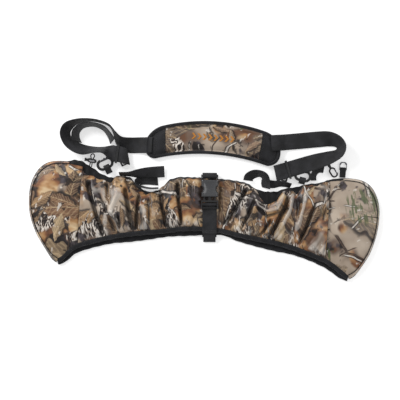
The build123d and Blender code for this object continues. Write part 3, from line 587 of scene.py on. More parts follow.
def camouflage(name, turn, shift, golden, squeeze=1.0, sheen=0.2, green=0.0, calm=0.0,
               needle_spot=None):
    """Printed leaf and branch cloth. golden is the share of brown and gold in its ground,
    green the share of needles, calm how much bare ground is left, and needle_spot the place
    in metres that the needles crowd round."""
    f = Finish(name, 0.5, Sheen_Weight=sheen, Sheen_Roughness=0.4, Specular_IOR_Level=0.5)
    x, y, z = f.axes(f.where)
    # Height slides the print along, so that it does not smear down steep cloth.
    flat = f.node("ShaderNodeCombineXYZ", {0: f.times_plus(z, 0.6, x),
                                           1: f.times_plus(z, -0.8, y), 2: 0.0}).outputs[0]
    where = f.placed(flat, move=(*shift, 0), turn=turn, scale=(squeeze, 1, 1))
    broad = f.noise(where, 14.0, 2.0)
    ground = f.ramp(broad, [(0.0, UMBER), (0.36, BROWN), (0.45 - 0.08 * calm, TAUPE),
                            (0.52 - 0.08 * calm, KHAKI), (0.66, BEIGE)], True)
    warm = f.ramp(f.noise(f.placed(where, scale=(1, 1.6, 1)), 22.0, 2.0, 0.5),
                  [(0.0, SHADOW), (0.36, UMBER), (0.45, RUST), (0.55, GOLD), (0.68, PALE_GOLD)], True)
    reach = 0.68 - 0.36 * golden
    patch = f.step(f.noise(f.placed(where, move=(3.1, 1.7, 0)), 9.0, 2.0), reach, reach + 0.04)
    colour = f.mix(patch, ground, warm)
    colour = bark(f, where, colour, 0.2, (5.2, 2.4, 0), 0.54 + 0.14 * calm)
    dusk = f.noise(f.placed(where, move=(7.7, 3.3, 0)), 17.0, 3.0, 0.5)
    colour = f.mix(f.step(dusk, 0.55 + 0.06 * calm, 0.59 + 0.06 * calm, 0.0, 0.95), colour,
                   f.mix(f.step(f.noise(where, 70.0, 3.0), 0.4, 0.6), BARK_DARK, SLATE))
    gold_tones = [(0.0, BROWN), (0.25, GOLD), (0.5, RUST), (0.7, PALE_GOLD), (0.88, UMBER)]
    grey_tones = [(0.0, TAUPE), (0.25, KHAKI), (0.5, PINKISH), (0.7, BEIGE), (0.88, SLATE)]
    mixed = gold_tones if golden > 0.5 else grey_tones
    few = 1 - 0.75 * calm
    colour = leaves(f, where, colour, 0.11, (0.6, 3.4, 0), mixed, 0.8 * few, (0.5, 0.24), 0.2)
    colour = leaves(f, where, colour, 0.065, (1.3, 0.4, 0), mixed, 0.6 * few, (0.55, 0.2))
    colour = twigs(f, where, colour, 0.06, 0.0009, (0.4, 0.9, 0), 1.1, 0.4, UMBER, 0.5)
    colour = leaves(f, where, colour, 0.042, (2.7, 1.1, 0), gold_tones if golden > 0.3 else grey_tones,
                    0.35 * few, (0.52, 0.15))
    colour = twigs(f, where, colour, 0.1, 0.0014, (2.2, 0.3, 0), -0.35, 0.35, BONE, 0.52)
    blot = f.noise(where, 34.0, 4.0, 0.6)
    colour = f.mix(f.step(blot, 0.6, 0.64, 0.0, 0.9 - 0.5 * calm), colour, BARK_DARK)
    fleck = f.noise(f.placed(where, move=(1.1, 6.1, 0), turn=0.5, scale=(1.6, 1, 1)), 40.0, 3.0, 0.55)
    colour = f.mix(f.step(fleck, 0.63, 0.67, 0.0, 0.6), colour, BONE)
    if green:
        colour = needles(f, where, colour, green, needle_spot)
    # Painted shade in the valleys of the folds and a painted highlight on their ridges, both read from
    # each point's fold value.
    fold = f.node("ShaderNodeAttribute", attribute_name="fold").outputs["Fac"]
    # painted shade: fold valleys darkened towards BARK_DARK
    colour = f.mix(f.step(fold, 0.2, -0.9, 0.0, 0.9), colour, f.mix(0.85, colour, BARK_DARK))
    # painted highlight: fold ridges lightened towards BONE
    colour = f.mix(f.step(fold, 0.55, 1.05, 0.0, 0.42), colour, BONE)
    f.paint(colour)
    knit = f.noise(f.where, 1500.0, 1.0)
    f.rough(f.step(f.noise(f.where, 60.0), 0.3, 0.7, 0.34, 0.48))
    f.bump(knit, 0.35, 0.0002)
    return f.material


def needles(f, where, under, share, spot=None):
    """Clusters of green needles, round one spot if it is given."""
    lean, squeeze = -0.2, 6
    hanging = f.placed(f.placed(f.where, turn=lean), scale=(squeeze, 1, 1))
    blade = f.noise(hanging, 34.0, 2.0, 0.5)
    patch = f.noise(f.placed(where, move=(9.4, 0.8, 0)), 11.0, 1.0)
    reach = 0.72 - 0.2 * share
    near = f.step(patch, reach, reach + 0.03)
    if spot:
        away = f.node("ShaderNodeVectorMath", {0: f.where, 1: (*spot, 0.015)},
                      operation="DISTANCE").outputs[1]
        crowd = f.step(f.times_plus(patch, 0.04, away), 0.05, 0.066, 1.0, 0.0)
        near = f.sums("MAXIMUM", near, crowd)
    shown = f.times(f.step(blade, 0.5, 0.54), near)
    return f.mix(f.times(shown, 0.85), under, GREEN)


def woven(name, tone, pitch, roughness=0.62, sheen=0.06, shift=0.12):
    """Black woven strap: warp ribs crossed by weft, on the strap's own length and width."""
    f = Finish(name, roughness, Sheen_Weight=sheen, Sheen_Roughness=0.45, Specular_IOR_Level=0.35)
    along, across, _ = f.axes(f.uv())
    warp = f.sine(f.times(across, 2 * math.pi / pitch))
    weft = f.sine(f.times_plus(across, math.pi / pitch,
                                 f.times(along, 2 * math.pi / pitch)))
    weave = f.times_plus(weft, 0.6, f.times(warp, 0.4))
    worn = f.noise(f.where, 42.0, 3.0)
    light = toned(tone, 1 + 11 * shift)
    dark = toned(tone, 1 - 5 * shift)
    share = f.times_plus(f.step(worn, 0.35, 0.7), 0.55, f.step(weave, -0.2, 0.9, 0.0, 0.45))
    f.paint(f.mix(share, dark, light))
    f.rough(f.step(worn, 0.3, 0.7, roughness - 0.08, roughness + 0.08))
    f.bump(weave, 0.5, 0.0003)
    return f.material


def knitted(name, tone, roughness=0.8, sheen=0.2, grain=900.0):
    """Black stretch knit or felted fabric."""
    f = Finish(name, roughness, Sheen_Weight=sheen, Sheen_Roughness=0.5, Specular_IOR_Level=0.3)
    fine = f.noise(f.where, grain, 2.0)
    broad = f.noise(f.where, 55.0, 3.0)
    f.paint(f.mix(f.step(broad, 0.35, 0.7), toned(tone, 0.6), toned(tone, 1.6)))
    f.rough(f.step(fine, 0.3, 0.7, roughness - 0.06, roughness + 0.06))
    f.bump(fine, 0.4, 0.0003)
    return f.material


def moulded(name, tone, roughness, coat=0.0, metallic=0.0, grain=0.35):
    """Moulded plastic or plated metal with fine scuffs."""
    f = Finish(name, roughness, Coat_Weight=coat, Coat_Roughness=0.15, Metallic=metallic,
               Specular_IOR_Level=0.5)
    scuff = f.noise(f.placed(f.where, scale=(1, 3, 1)), 240.0, 4.0, 0.65)
    f.paint(f.mix(f.step(scuff, 0.55, 0.8), tone, toned(tone, 1.8, 0.004)))
    f.rough(f.step(scuff, 0.3, 0.75, roughness - 0.05, roughness + 0.12))
    f.bump(f.noise(f.where, 1600.0, 1.0), grain, 0.0001)
    return f.material


def thread(name, tone):
    """Sewing thread with its twist."""
    f = Finish(name, 0.5, Sheen_Weight=0.3, Specular_IOR_Level=0.5)
    twist = f.noise(f.where, 2600.0, 1.0)
    f.paint(f.mix(f.step(twist, 0.35, 0.65), toned(tone, 0.6), tone))
    f.bump(twist, 0.5, 0.0002)
    return f.material


FINISHES = {}


def make_finishes(look):
    """Every material of the sling, by its own name."""
    web = (*look.webbing, 1.0)
    FINISHES.update({
        "camo_left": camouflage("camo_left_pocket", 0.3, (0.7, 0.2), 0.9),
        "camo_sleeve": camouflage("camo_sleeve", -0.2, (1.9, 0.6), 0.6, 1.2),
        "camo_right": camouflage("camo_right_pocket", 1.2, (0.2, 1.4), 0.15, green=0.4, calm=0.8,
                                 needle_spot=(0.352, 0.022)),
        "camo_pad": camouflage("camo_pad", 0.5, (4.1, 3.3), 0.2, sheen=0.15, green=0.3, calm=0.2),
        "camo_back": camouflage("camo_back", 2.0, (1.2, 2.6), 0.5),
        "webbing": woven("black_webbing", web, 0.0016),
        "patch": woven("pad_patch_cloth", web, 0.0011, 0.78),
        "lining": knitted("black_lining", (0.006, 0.006, 0.007, 1)),
        "binding": knitted("black_binding", (*look.binding, 1.0), 0.66, 0.2),
        "plastic": moulded("black_plastic", (*look.plastic, 1.0), 0.3, 0.4),
        # Gloss coat on the buckle face, and a base lighter than the black plastic that paints in part of
        # the highlight on its dish.
        "polished_painted_light": moulded("polished_plastic_painted_light", (0.045, 0.046, 0.05, 1), 0.26, 1.0, grain=0.1),
        "highlight_metal": moulded("highlight_oval_metal", (0.5, 0.5, 0.52, 1), 0.3, 0.0, 1.0),
        # pale metal of the oval that stands as a painted highlight on the cord lock's barrel
        "acetal": moulded("black_acetal", (0.008, 0.008, 0.009, 1), 0.38, 0.1),
        "metal": moulded("dark_metal", (0.12, 0.12, 0.13, 1), 0.24, 0.0, 1.0),
        "thread": thread("black_thread", (0.03, 0.03, 0.033, 1)),
        "orange": thread("orange_thread", (*look.motif, 1.0)),
        "elastic": knitted("elastic_braid", (0.02, 0.02, 0.022, 1), 0.6, 0.2, 1800.0),
    })


# ---- sewing with Geometry Nodes -----------------------------------------------------------
def stitch_tree():
    """A node group that lays one short rounded stitch at every step of each line."""
    tree = bpy.data.node_groups.new("stitch_rows", "GeometryNodeTree")
    face = tree.interface
    face.new_socket("Lines", in_out="INPUT", socket_type="NodeSocketGeometry")
    for title, default in (("Spacing", 0.003), ("Length", 0.0022), ("Thread", 0.0007)):
        face.new_socket(title, in_out="INPUT", socket_type="NodeSocketFloat").default_value = default
    face.new_socket("Finish", in_out="INPUT", socket_type="NodeSocketMaterial")
    face.new_socket("Stitches", in_out="OUTPUT", socket_type="NodeSocketGeometry")
    make = tree.nodes.new
    link = tree.links.new
    given, result = make("NodeGroupInput"), make("NodeGroupOutput")
    curve, points = make("GeometryNodeMeshToCurve"), make("GeometryNodeCurveToPoints")
    points.mode = "LENGTH"
    ball, sizes = make("GeometryNodeMeshUVSphere"), make("ShaderNodeCombineXYZ")
    for title, value in (("Segments", 6), ("Rings", 4), ("Radius", 0.5)):
        ball.inputs[title].default_value = value
    place, real = make("GeometryNodeInstanceOnPoints"), make("GeometryNodeRealizeInstances")
    smooth, colour = make("GeometryNodeSetShadeSmooth"), make("GeometryNodeSetMaterial")
    link(given.outputs["Lines"], curve.inputs[0])
    link(curve.outputs[0], points.inputs["Curve"])
    link(given.outputs["Spacing"], points.inputs["Length"])
    for axis, title in enumerate(("Thread", "Thread", "Length")):
        link(given.outputs[title], sizes.inputs[axis])
    link(points.outputs["Points"], place.inputs["Points"])
    link(points.outputs["Rotation"], place.inputs["Rotation"])
    link(ball.outputs["Mesh"], place.inputs["Instance"])
    link(sizes.outputs[0], place.inputs["Scale"])
    link(place.outputs[0], real.inputs[0])
    link(real.outputs[0], smooth.inputs[0])
    link(smooth.outputs[0], colour.inputs[0])
    link(given.outputs["Finish"], colour.inputs["Material"])
    link(colour.outputs[0], result.inputs[0])
    return tree


def sewn(name, lines, finish, spacing=3.2, length=2.3, thick=0.7, body="cover"):
    """Stitches along lines of (x, y, z) points, as one plain mesh."""
    tree = bpy.data.node_groups.get("stitch_rows") or stitch_tree()
    verts, edges = [], []
    for line in lines:
        start = len(verts)
        verts += [Vector(point) * MM for point in line]
        edges += [(start + k, start + k + 1) for k in range(len(line) - 1)]
    base = bpy.data.meshes.new(name + "_lines")
    base.from_pydata(verts, edges, [])
    guide = bpy.data.objects.new(name + "_lines", base)
    bpy.context.scene.collection.objects.link(guide)
    modifier = guide.modifiers.new("stitches", "NODES")
    modifier.node_group = tree
    values = {"Spacing": spacing * MM, "Length": length * MM, "Thread": thick * MM,
              "Finish": FINISHES[finish]}
    for item in tree.interface.items_tree:
        if item.in_out == "INPUT" and item.name in values:
            modifier[item.identifier] = values[item.name]
    bpy.context.view_layer.update()
    shown = guide.evaluated_get(bpy.context.evaluated_depsgraph_get())
    mesh = bpy.data.meshes.new_from_object(shown)
    mesh.name = name
    piece = bpy.data.objects.new(name, mesh)
    bpy.context.scene.collection.objects.link(piece)
    bpy.data.objects.remove(guide)
    if not mesh.polygons:
        raise RuntimeError(f"{name} has no stitches")
    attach(piece, body)
    return finish_piece(piece)


# ---- drawcord -----------------------------------------------------------------------------
def lock_point(x, y, z):
    """A point in the cord lock's own axes, in the frame."""
    turn = math.radians(LOCK_HEADING)
    c, s = math.cos(turn), math.sin(turn)
    return Vector((LOCK_PLACE[0] + x * c - y * s, LOCK_PLACE[1] + x * s + y * c, LOCK_PLACE[2] + z))


def make_drawcord():
    points = [lock_point(*point) * MM for point in DRAWCORD]
    line = bpy.data.curves.new("drawcord_line", "CURVE")
    line.dimensions = "3D"
    spline = line.splines.new("NURBS")
    spline.points.add(len(points) - 1)
    for knot, point in zip(spline.points, points):
        knot.co = (*point, 1.0)
    spline.order_u = 3
    spline.use_endpoint_u = True
    line.bevel_depth = CORD_DIAMETER / 2 * MM
    line.bevel_resolution = 4
    line.use_fill_caps = True
    cord = bpy.data.objects.new("drawcord_elastic", line)
    bpy.context.scene.collection.objects.link(cord)
    line.materials.append(FINISHES["elastic"])
    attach(cord, "cover")
    finish_piece(cord, ["drawcord"])


# ---- cover ----------------------------------------------------------------------------------
def crown(t):
    """Height share across a panel, 0 at both edges with steep rounded sides."""
    return 1 - abs(2 * t - 1) ** 3


# The sleeve's main creases, as lines of (x, y) from the top, with a width and a depth;
# a negative depth is a ridge.
CREASES = [([(-262, 40), (-240, -20), (-215, -80)], 6, 7), ([(-252, 44), (-255, 16)], 4, 5),
           ([(-217, 40), (-212, 5)], 4, 6), ([(-176, 32), (-166, -20), (-154, -62)], 6, 8),
           ([(-187, -28), (-180, -64)], 4, 6), ([(-145, 16), (-146, -66)], 5, 7),
           ([(-98, 26), (-90, -15), (-79, -60)], 5, 7), ([(-63, 50), (-57, 5), (-47, -48)], 5, 9),
           ([(-232, 12), (-206, -40), (-190, -74)], 5, 5), ([(-122, 12), (-118, -60)], 5, 5),
           ([(-187, 30), (-200, -10), (-214, -50)], 9, -4), ([(-30, 52), (-26, 0)], 5, 3),
           ([(30, 54), (31, 0), (34, -42)], 5, 4), ([(92, 42), (72, 5), (49, -38)], 6, 8),
           ([(112, 26), (96, -20), (80, -52)], 5, 5), ([(150, -18), (136, -45), (126, -62)], 5, 7),
           ([(104, 36), (118, 6), (138, -4), (160, 2), (172, 34)], 4, -4),
           ([(110, 8), (138, -16), (166, -6)], 5, 5),
           ([(181, 34), (178, 5), (162, -25), (151, -54)], 6, 10),
           ([(204, 32), (206, 6), (203, -22)], 5, 4),
           ([(243, 20), (230, -20), (209, -78)], 5, 7), ([(262, 50), (260, 20), (262, -20)], 4, 3),
           ([(191, 40), (188, 5), (172, -40)], 7, -4), ([(222, 50), (214, 0), (200, -50)], 7, -4)]


def crease_pull(x, y):
    """How far the main creases lower the cloth at (x, y), in millimetres."""
    total = 0.0
    for line, width, depth in CREASES:
        if abs(x - line[0][0]) >= 90:
            continue        # too far away to matter
        best, place, run = math.inf, 0.0, 0.0
        lengths = [math.dist(a, b) for a, b in zip(line, line[1:])]
        for (a, b), length in zip(zip(line, line[1:]), lengths):
            share = ((x - a[0]) * (b[0] - a[0]) + (y - a[1]) * (b[1] - a[1])) / length**2
            share = min(1.0, max(0.0, share))
            gap = math.hypot(x - lerp(a[0], b[0], share), y - lerp(a[1], b[1], share))
            if gap < best:
                best, place = gap, run + share * length
            run += length
        ends = ease(place, -1, 14) * (1 - 0.6 * ease(place, run - 18, run))
        total += depth * ends * math.exp(-(best / (0.72 * width)) ** 2)
    return total


def under_belt(x, y, reach):
    """1 on the cloth under the belt, fading to 0 past reach either side of it."""
    return math.exp(-((x - BELT_ORIGIN[0] + BELT_SLOPE * y) / reach) ** 4)


def gathers(place, across, pitch, swing, feature, seed, power):
    """Rounded ridges along place, from 0 in a valley to 1 on a ridge, with uneven widths."""
    return abs(math.sin(place / pitch + swing * wander(place, across, feature, seed))) ** power


def sleeve_height(x, y, t, depth):
    """Height of the sleeve's gathers: soft ridges that fan out and run down to the mouth. t
    runs from the mouth, 0, to the top edge, 1."""
    mouth_y = -57 - 0.17 * abs(x)
    lean = lerp(0.38, -0.55, ease(x, -200, 120)) * max(0.0, y - mouth_y)
    place = x + lean + 4 * wander(x, y, 45, 1)
    broad = gathers(place, y * 0.3, 8.6, 1.3, 40, 3, 0.7)
    fine = gathers(place, y * 0.2, 3.9, 1.2, 20, 4, 0.75)
    near_mouth = 1 - ease(t, 0.05, 0.45)
    near_top = ease(t, 0.78, 0.98)
    height = 3.4 * (broad - 0.55) * max(near_mouth, 0.5 * near_top, 0.12)
    height += 2.0 * (fine - 0.55) * near_mouth * (1 - ease(t, 0.12, 0.34))
    height += 0.9 * wander(x, y, 12, 5) + 3.4 * wander(x, y, 34, 6)
    height -= 1.35 * crease_pull(x, y)
    held_by_belt = 1 - 0.85 * under_belt(x, y, 23)
    held_by_edges = ease(t, 0.0, 0.06) * (1 - 0.6 * ease(t, 0.93, 1.0))
    return height * held_by_belt * held_by_edges * depth


def make_sleeve(look):
    """The gathered sleeve front."""
    whole_mouth = mirrored(MOUTH)
    columns, rows = 400, 84
    top_z, lowest = 10.5, 7.0
    grid, folds = [], []
    for i in range(columns + 1):
        x = lerp(-SEAM_X, SEAM_X, i / columns)
        low, high = curve_at(whole_mouth, x), curve_at(SLEEVE_TOP, x)
        z_low = curve_at(whole_mouth, x, 2) - 1.0
        rise = 11.5 + 1.0 * (abs(x) / SEAM_X) ** 4
        column = []
        for j in range(rows + 1):
            t = j / rows
            y = lerp(low, high, t)
            gather = sleeve_height(x, y, t, look.gather_depth)
            pressed = 1 - 0.5 * under_belt(x, y, 24)
            z = lerp(z_low, top_z, t) + rise * crown(t) * pressed + gather
            sway = 2.2 * wander(x, y, 24, 9) * ease(t, 0.05, 0.3)
            scallop = 1.3 * math.sin(x / 3.3 + 2 * wander(x, 0, 30, 8)) * ease(t, 0.75, 1.0)
            column.append((x + 0.8 * sway * (1 - (x / SEAM_X) ** 8), y + scallop, max(z, lowest)))
            # fold value: the camouflage paints shade in its valleys and a highlight on its ridges
            folds.append(gather / 4 + 0.3)
        grid.append(column)
    fabric_panel("sleeve_gathers", grid, FRONT_WALL, FINISHES["camo_sleeve"],
                 ["sleeve_front"], folds)


def pocket_edges():
    """A pocket front's upper edge, its lower edge and the x of its nose, for x >= 0."""
    path = flowing(POCKET_EDGE, 1.5)
    nose = max(range(len(path)), key=lambda k: path[k][0])
    return sorted(path[:nose + 1]), sorted(path[nose:]), path[nose][0]


def pocket_height(x, y, u, t, side):
    """Wrinkles of a pocket front; u runs from the seam, 0, to the nose, 1."""
    height = 1.6 * wander(x, y, 48, 11 + side) + 0.8 * wander(x, y, 17, 13 + side)
    place = y * 0.5 + x
    near_seam = 1 - ease(u, 0.0, 0.3)
    height += 1.7 * near_seam * (abs(math.sin(y / 10 + 2 * wander(x, y, 30, 15 + side))) - 0.5)
    near_mouth = 1 - ease(t, 0.0, 0.3)
    height += 1.8 * near_mouth * (abs(math.sin(place / 8 + 1.5 * wander(x, y, 25, 17 + side))) - 0.5)
    return height


def make_pocket(side, name, look):
    """A cam pocket's puffed front panel."""
    upper, lower, nose = pocket_edges()
    columns, rows = 110, 120
    mouth = [row for row in MOUTH if row[0] >= SEAM_X]
    grid, folds = [], []
    for i in range(columns + 1):
        u = i / columns
        x = lerp(SEAM_X, nose - 0.05, 1 - (1 - u) ** 1.7)
        high = curve_at(upper, x)
        low = curve_at(mouth, x) if x < MOUTH_END else curve_at(lower, x)
        if 318 < x < 330:
            on_mouth = curve_at(mouth, min(x, MOUTH_END))
            on_side = curve_at(lower, max(x, lower[0][0]))
            low = lerp(on_mouth, on_side, ease(x, 318, 330))
        span = (x - SEAM_X) / (nose - SEAM_X)
        body = (1 - span ** 3.2) * look.pocket_puff
        column = []
        for j in range(rows + 1):
            t = j / rows
            y = lerp(low, high, t)
            bulge = body * (0.62 + 0.38 * ease(span, 0.0, 0.35)) * crown(t)
            z = lerp(lerp(12, 9.5, ease(x, 285, MOUTH_END)), 10.5, t) + bulge
            fade = ease(t, 0, 0.08) * (1 - ease(t, 0.92, 1)) * (1 - ease(span, 0.93, 1.0))
            wrinkle = pocket_height(side * x, y, span, t, side) * fade * ease(span, 0.0, 0.04)
            column.append((side * x, y, z + wrinkle))
            # Painted shade along the seam and the mouth edge: lowering the fold value darkens the print
            # there.
            seam_shade = 0.5 * (1 - ease(span, 0.0, 0.05)) + 0.25 * (1 - ease(t, 0.0, 0.04))
            folds.append(0.3 + wrinkle / 5 - seam_shade)
        grid.append(column)
    fabric_panel(f"pocket_{name}", grid, FRONT_WALL, FINISHES[f"camo_{name}"],
                 [f"pocket_front_{name}"], folds)


def make_gusset(side, name):
    """The strip round a pocket, with thin black piping at its inner edge."""
    outer = [Vector(row) for row in flowing(SILHOUETTE, 3)]
    inner = [Vector(row) for row in flowing(POCKET_EDGE[2:], 3)]
    count = 130
    grid, piping = [], []
    for i in range(count + 1):
        share = i / count
        a = outer[round(share * (len(outer) - 1))]
        b = inner[round(share * (len(inner) - 1))]
        ripple = 0.7 * wander(a.x * side, a.y, 14, 21)
        column = []
        for j in range(9):
            t = j / 8
            lift = math.sin(t * math.pi / 2)
            x, y = lerp(a.x, b.x, t), lerp(a.y, b.y, t)
            column.append((side * x, y, 1.0 + 10.2 * lift + ripple * math.sin(t * math.pi)))
        grid.append(column)
        piping.append(Vector((side * b.x, b.y, 11.4)))
    fabric_panel(f"gusset_{name}", grid, GUSSET_WALL, FINISHES[f"camo_{name}"],
                 [f"pocket_gusset_{name}"])
    sides = []
    for i in range(len(piping)):
        ahead = piping[min(i + 1, count)] - piping[max(i - 1, 0)]
        sides.append(ahead.cross(Vector((0, 0, 1))).normalized())
    section = tube_section(1.9, 2.2, 8, 2)
    cord = swept(f"piping_{name}", piping, sides, lambda i: section, FINISHES["binding"])
    finish_piece(cord)


def make_lining():
    """The black stretch lining that shows along the sleeve's top."""
    columns = 420
    grid = []
    for i in range(columns + 1):
        x = lerp(-306, 306, i / columns)
        outer = curve_at(LINING_TOP, x)
        if abs(x) <= SEAM_X:
            under = curve_at(SLEEVE_TOP, x)
        else:
            under = curve_at([(p[0], p[1]) for p in POCKET_EDGE[:5]], abs(x))
        ruffle = 1.1 * math.sin(x / 2.6 + 3 * wander(x, 0, 22, 31))
        inner = min(under - 4, outer - 5)
        column = []
        for j in range(12):
            t = j / 11
            lift = math.sin(t * math.pi / 2)
            y = lerp(outer, inner, t)
            z = 1.0 + 8.0 * lift + ruffle * math.sin(t * math.pi) * 0.9
            column.append((x, y + 0.5 * ruffle * (1 - t), max(z, 0.9)))
        grid.append(column)
    fabric_panel("lining_edge", grid, LINING_WALL, FINISHES["lining"],
                 ["top_lining_left", "top_lining_middle", "top_lining_right"])


def make_backs():
    """The flat back panels that the cover lies on."""
    whole_mouth = mirrored(MOUTH)
    columns, rows = 240, 24
    for name, start, end in (("left", -306, -SEAM_X), ("middle", -SEAM_X, SEAM_X), ("right", SEAM_X, 306)):
        grid = []
        nodes = ["sleeve_back"] if name == "middle" else [f"pocket_back_{name}"]
        side = -1 if name == "left" else 1
        if name == "middle":
            edges = [(x, curve_at(whole_mouth, x) - curve_at(BACK_SAG, x), curve_at(LINING_TOP, x) - 1)
                     for x in [lerp(start, end, i / columns) for i in range(columns + 1)]]
        else:
            edges = pocket_back_edges(side)
        for x, low, high in edges:
            column = []
            for j in range(rows + 1):
                t = j / rows
                y = lerp(low, high, t)
                pleat = 0.45 * (1 + math.sin(x / 3.1 + 2 * wander(x, y, 26, 41)))
                column.append((x, y, 2.6 + pleat * math.sin(math.pi * t)))
            grid.append(column)
        panel = fabric_panel(f"back_{name}", grid, BACK_WALL, FINISHES["lining"], nodes)
        panel.data.materials.append(FINISHES["camo_back"])
        panel.modifiers["wall"].material_offset = 1
        panel.modifiers["wall"].material_offset_rim = 0


def pocket_back_edges(side):
    """Rows of (x, low, high) that fill a pocket's silhouette."""
    path = flowing([(SEAM_X, 72), (290, 76), *SILHOUETTE], 2)
    nose = max(range(len(path)), key=lambda k: path[k][0])
    upper = sorted(path[:nose + 1])
    lower = sorted(path[nose:])
    mouth = [(x, y - curve_at(BACK_SAG, x)) for x, y, _ in MOUTH if x >= SEAM_X]
    past_mouth = 332
    lower = mouth + [p for p in lower if p[0] > past_mouth]
    count = 90
    edges = []
    for i in range(count + 1):
        x = lerp(SEAM_X, path[nose][0] - 0.1, 1 - (1 - i / count) ** 1.7)
        edges.append((side * x, curve_at(lower, x), curve_at(upper, x)))
    return edges if side > 0 else edges[::-1]


def make_bindings():
    """The two bound edges of the mouth, puckered by the elastic inside them."""
    whole_mouth = mirrored(MOUTH)
    # How far each hangs off the edge, its thickness, its width and its height from the edge's.
    styles = {"front": (-0.8, 4.6, 10.6, lambda z: z - 1.6), "back": (-4.2, 4.4, 14.2, lambda z: 2.5)}
    for name, (gap, thick, width, height_of) in styles.items():
        centres, sides, scales = [], [], []
        steps = 360
        for i in range(steps + 1):
            x = lerp(-MOUTH_END - 2, MOUTH_END + 2, i / steps)
            inside = min(max(x, -MOUTH_END), MOUTH_END)
            y = curve_at(whole_mouth, inside) - gap - width / 2
            if name == "back":
                y -= curve_at(BACK_SAG, inside)
            z = height_of(curve_at(whole_mouth, inside, 2))
            z += 0.5 * math.sin(x / 2.9 + 2 * wander(x, 0, 20, 51)) + 0.8 * wander(x, 0, 16, 52)
            centres.append(Vector((x, y, max(z, 2.3))))
        last = len(centres) - 1
        for i in range(len(centres)):
            ahead = centres[min(i + 1, last)] - centres[max(i - 1, 0)]
            sides.append(Vector((ahead.y, -ahead.x, 0)).normalized() * -1)
            scales.append(1 + 0.05 * math.sin(centres[i].x / 3.7))
        base = tube_section(width, thick, 18, 3.4)
        piece = swept(f"mouth_edge_{name}", centres, sides,
                      lambda i: [(a * scales[i], b * scales[i]) for a, b in base], FINISHES["binding"])
        finish_piece(piece, [f"mouth_binding_{name}", f"mouth_elastic_{name}"])
        for k, offset in enumerate((0.32, -0.3)):
            on_top = Vector((0, 0, thick / 2 - 0.15))
            line = [c + s * offset * width + on_top for c, s in zip(centres, sides)]
            sewn(f"mouth_stitches_{name}_{k}", [line], "thread", 3.0, 2.2, 0.6)


# ---- belt -----------------------------------------------------------------------------------
def on_belt(along, across=0.0, z=0.0):
    """A point in the belt's axes, in the frame."""
    turn = math.radians(BELT_LEAN)
    return Vector((BELT_ORIGIN[0] + across * math.cos(turn) - along * math.sin(turn),
                   BELT_ORIGIN[1] + across * math.sin(turn) + along * math.cos(turn), z))


def belt_strap(name, points, nodes, width=BELT_WIDTH, thickness=WEB_THICKNESS, body="cover"):
    """A belt strap from (along, z) points."""
    route = [(*on_belt(v, 0, z), 180 + BELT_LEAN, 0) for v, z in points]
    return strap(name, route, width, nodes, thickness, body, 2.0)


def make_belt():
    """The belt over the top, down to the mouth, behind, and its sewn tail."""
    behind = [(-88, 0.9), (-60, 0.8), (0, 0.8), (43, 0.8)]
    belt_strap("belt_behind", behind, ["belt_back"], thickness=1.4)
    over_top = [(43.1, 0.85), (47.5, 1.1), (51, 4.5), (52.3, 13), (52.2, 23), (50.3, 27.6),
                (46, 29.2), (42.4, 28.4), (41.2, 26), (42.4, 23.3), (46, 22.4), (49.2, 22.4)]
    belt_strap("belt_over_top", over_top, ["belt_upper"])
    fold = [(-12.7, 24.5), (-13.6, 27), (-15.7, 28.4), (-17.9, 27.2), (-19.4, 24.2), (-22, 22),
            (-25, 21.5), (-27, 21.3)]
    belt_strap("belt_fold", fold, ["belt_lower"], body="buckle_male")
    to_mouth = [(-26.5, 21.3), (-40, 20.6), (-52, 19.4), (-62, 18), (-71, 16.6), (-80, 15.4)]
    lower = belt_strap("belt_to_mouth", to_mouth, ["belt_lower"])
    round_mouth = [(-78.8, 13.3), (-82.5, 12.3), (-88, 10.3), (-95, 6.6), (-98.4, 3.2), (-97, 0.95),
                   (-93, 0.8), (-88.1, 0.8)]
    belt_strap("belt_round_mouth", round_mouth, ["belt_tail"], 27.0, 1.3)
    tack_rows = [(-73.5, 17.0), (-76.5, 16.6), (-78.6, 16.4)]
    fold_rows = [(43.5, 29.6), (47.5, 29.7)]
    for name, places, reach, spacing, length in (("belt_bar_tack", tack_rows, 13.5, 2.4, 1.9),
                                                 ("belt_fold_stitches", fold_rows, 14, 2.6, 2.0)):
        rows = [[on_belt(along, across, z) for across in (-reach, 0, reach)] for along, z in places]
        sewn(name, rows, "thread", spacing, length, 0.7)
    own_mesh(lower)


# ---- shoulder pad ----------------------------------------------------------------------------
def arc(a, b, c, count):
    """Points from a to c on the circle through b, leaving c out."""
    (ax, ay), (bx, by), (cx, cy) = a, b, c
    d = 2 * (ax * (by - cy) + bx * (cy - ay) + cx * (ay - by))
    ux = ((ax**2 + ay**2) * (by - cy) + (bx**2 + by**2) * (cy - ay) + (cx**2 + cy**2) * (ay - by)) / d
    uy = ((ax**2 + ay**2) * (cx - bx) + (bx**2 + by**2) * (ax - cx) + (cx**2 + cy**2) * (bx - ax)) / d
    radius = math.hypot(ax - ux, ay - uy)
    start, middle, end = (math.atan2(y - uy, x - ux) for x, y in (a, b, c))
    turn = (end - start) % (2 * math.pi)
    if (middle - start) % (2 * math.pi) > turn:
        turn -= 2 * math.pi
    return [Vector((ux + radius * math.cos(start + turn * k / count),
                    uy + radius * math.sin(start + turn * k / count))) for k in range(count)]


def pad_outline():
    """The pad's kidney shape, clockwise from its left side."""
    points = [Vector((-135, 110 + 3.6 * k)) for k in range(7)]
    points += arc((-135, 136), (-122, 155), (-103, 167), 10)
    points += arc((-103, 167), (14, 184), (122, 169), 56)
    points += arc((122, 169), (146, 155), (159, 132), 13)
    points += [Vector((159, 132 - 4 * k)) for k in range(3)]
    points += arc((159, 120), (151, 102), (132, 95), 10)
    points += arc((132, 95), (10, 113), (-108, 98), 60)
    points += arc((-108, 98), (-127, 99.5), (-135, 110), 8)
    return points


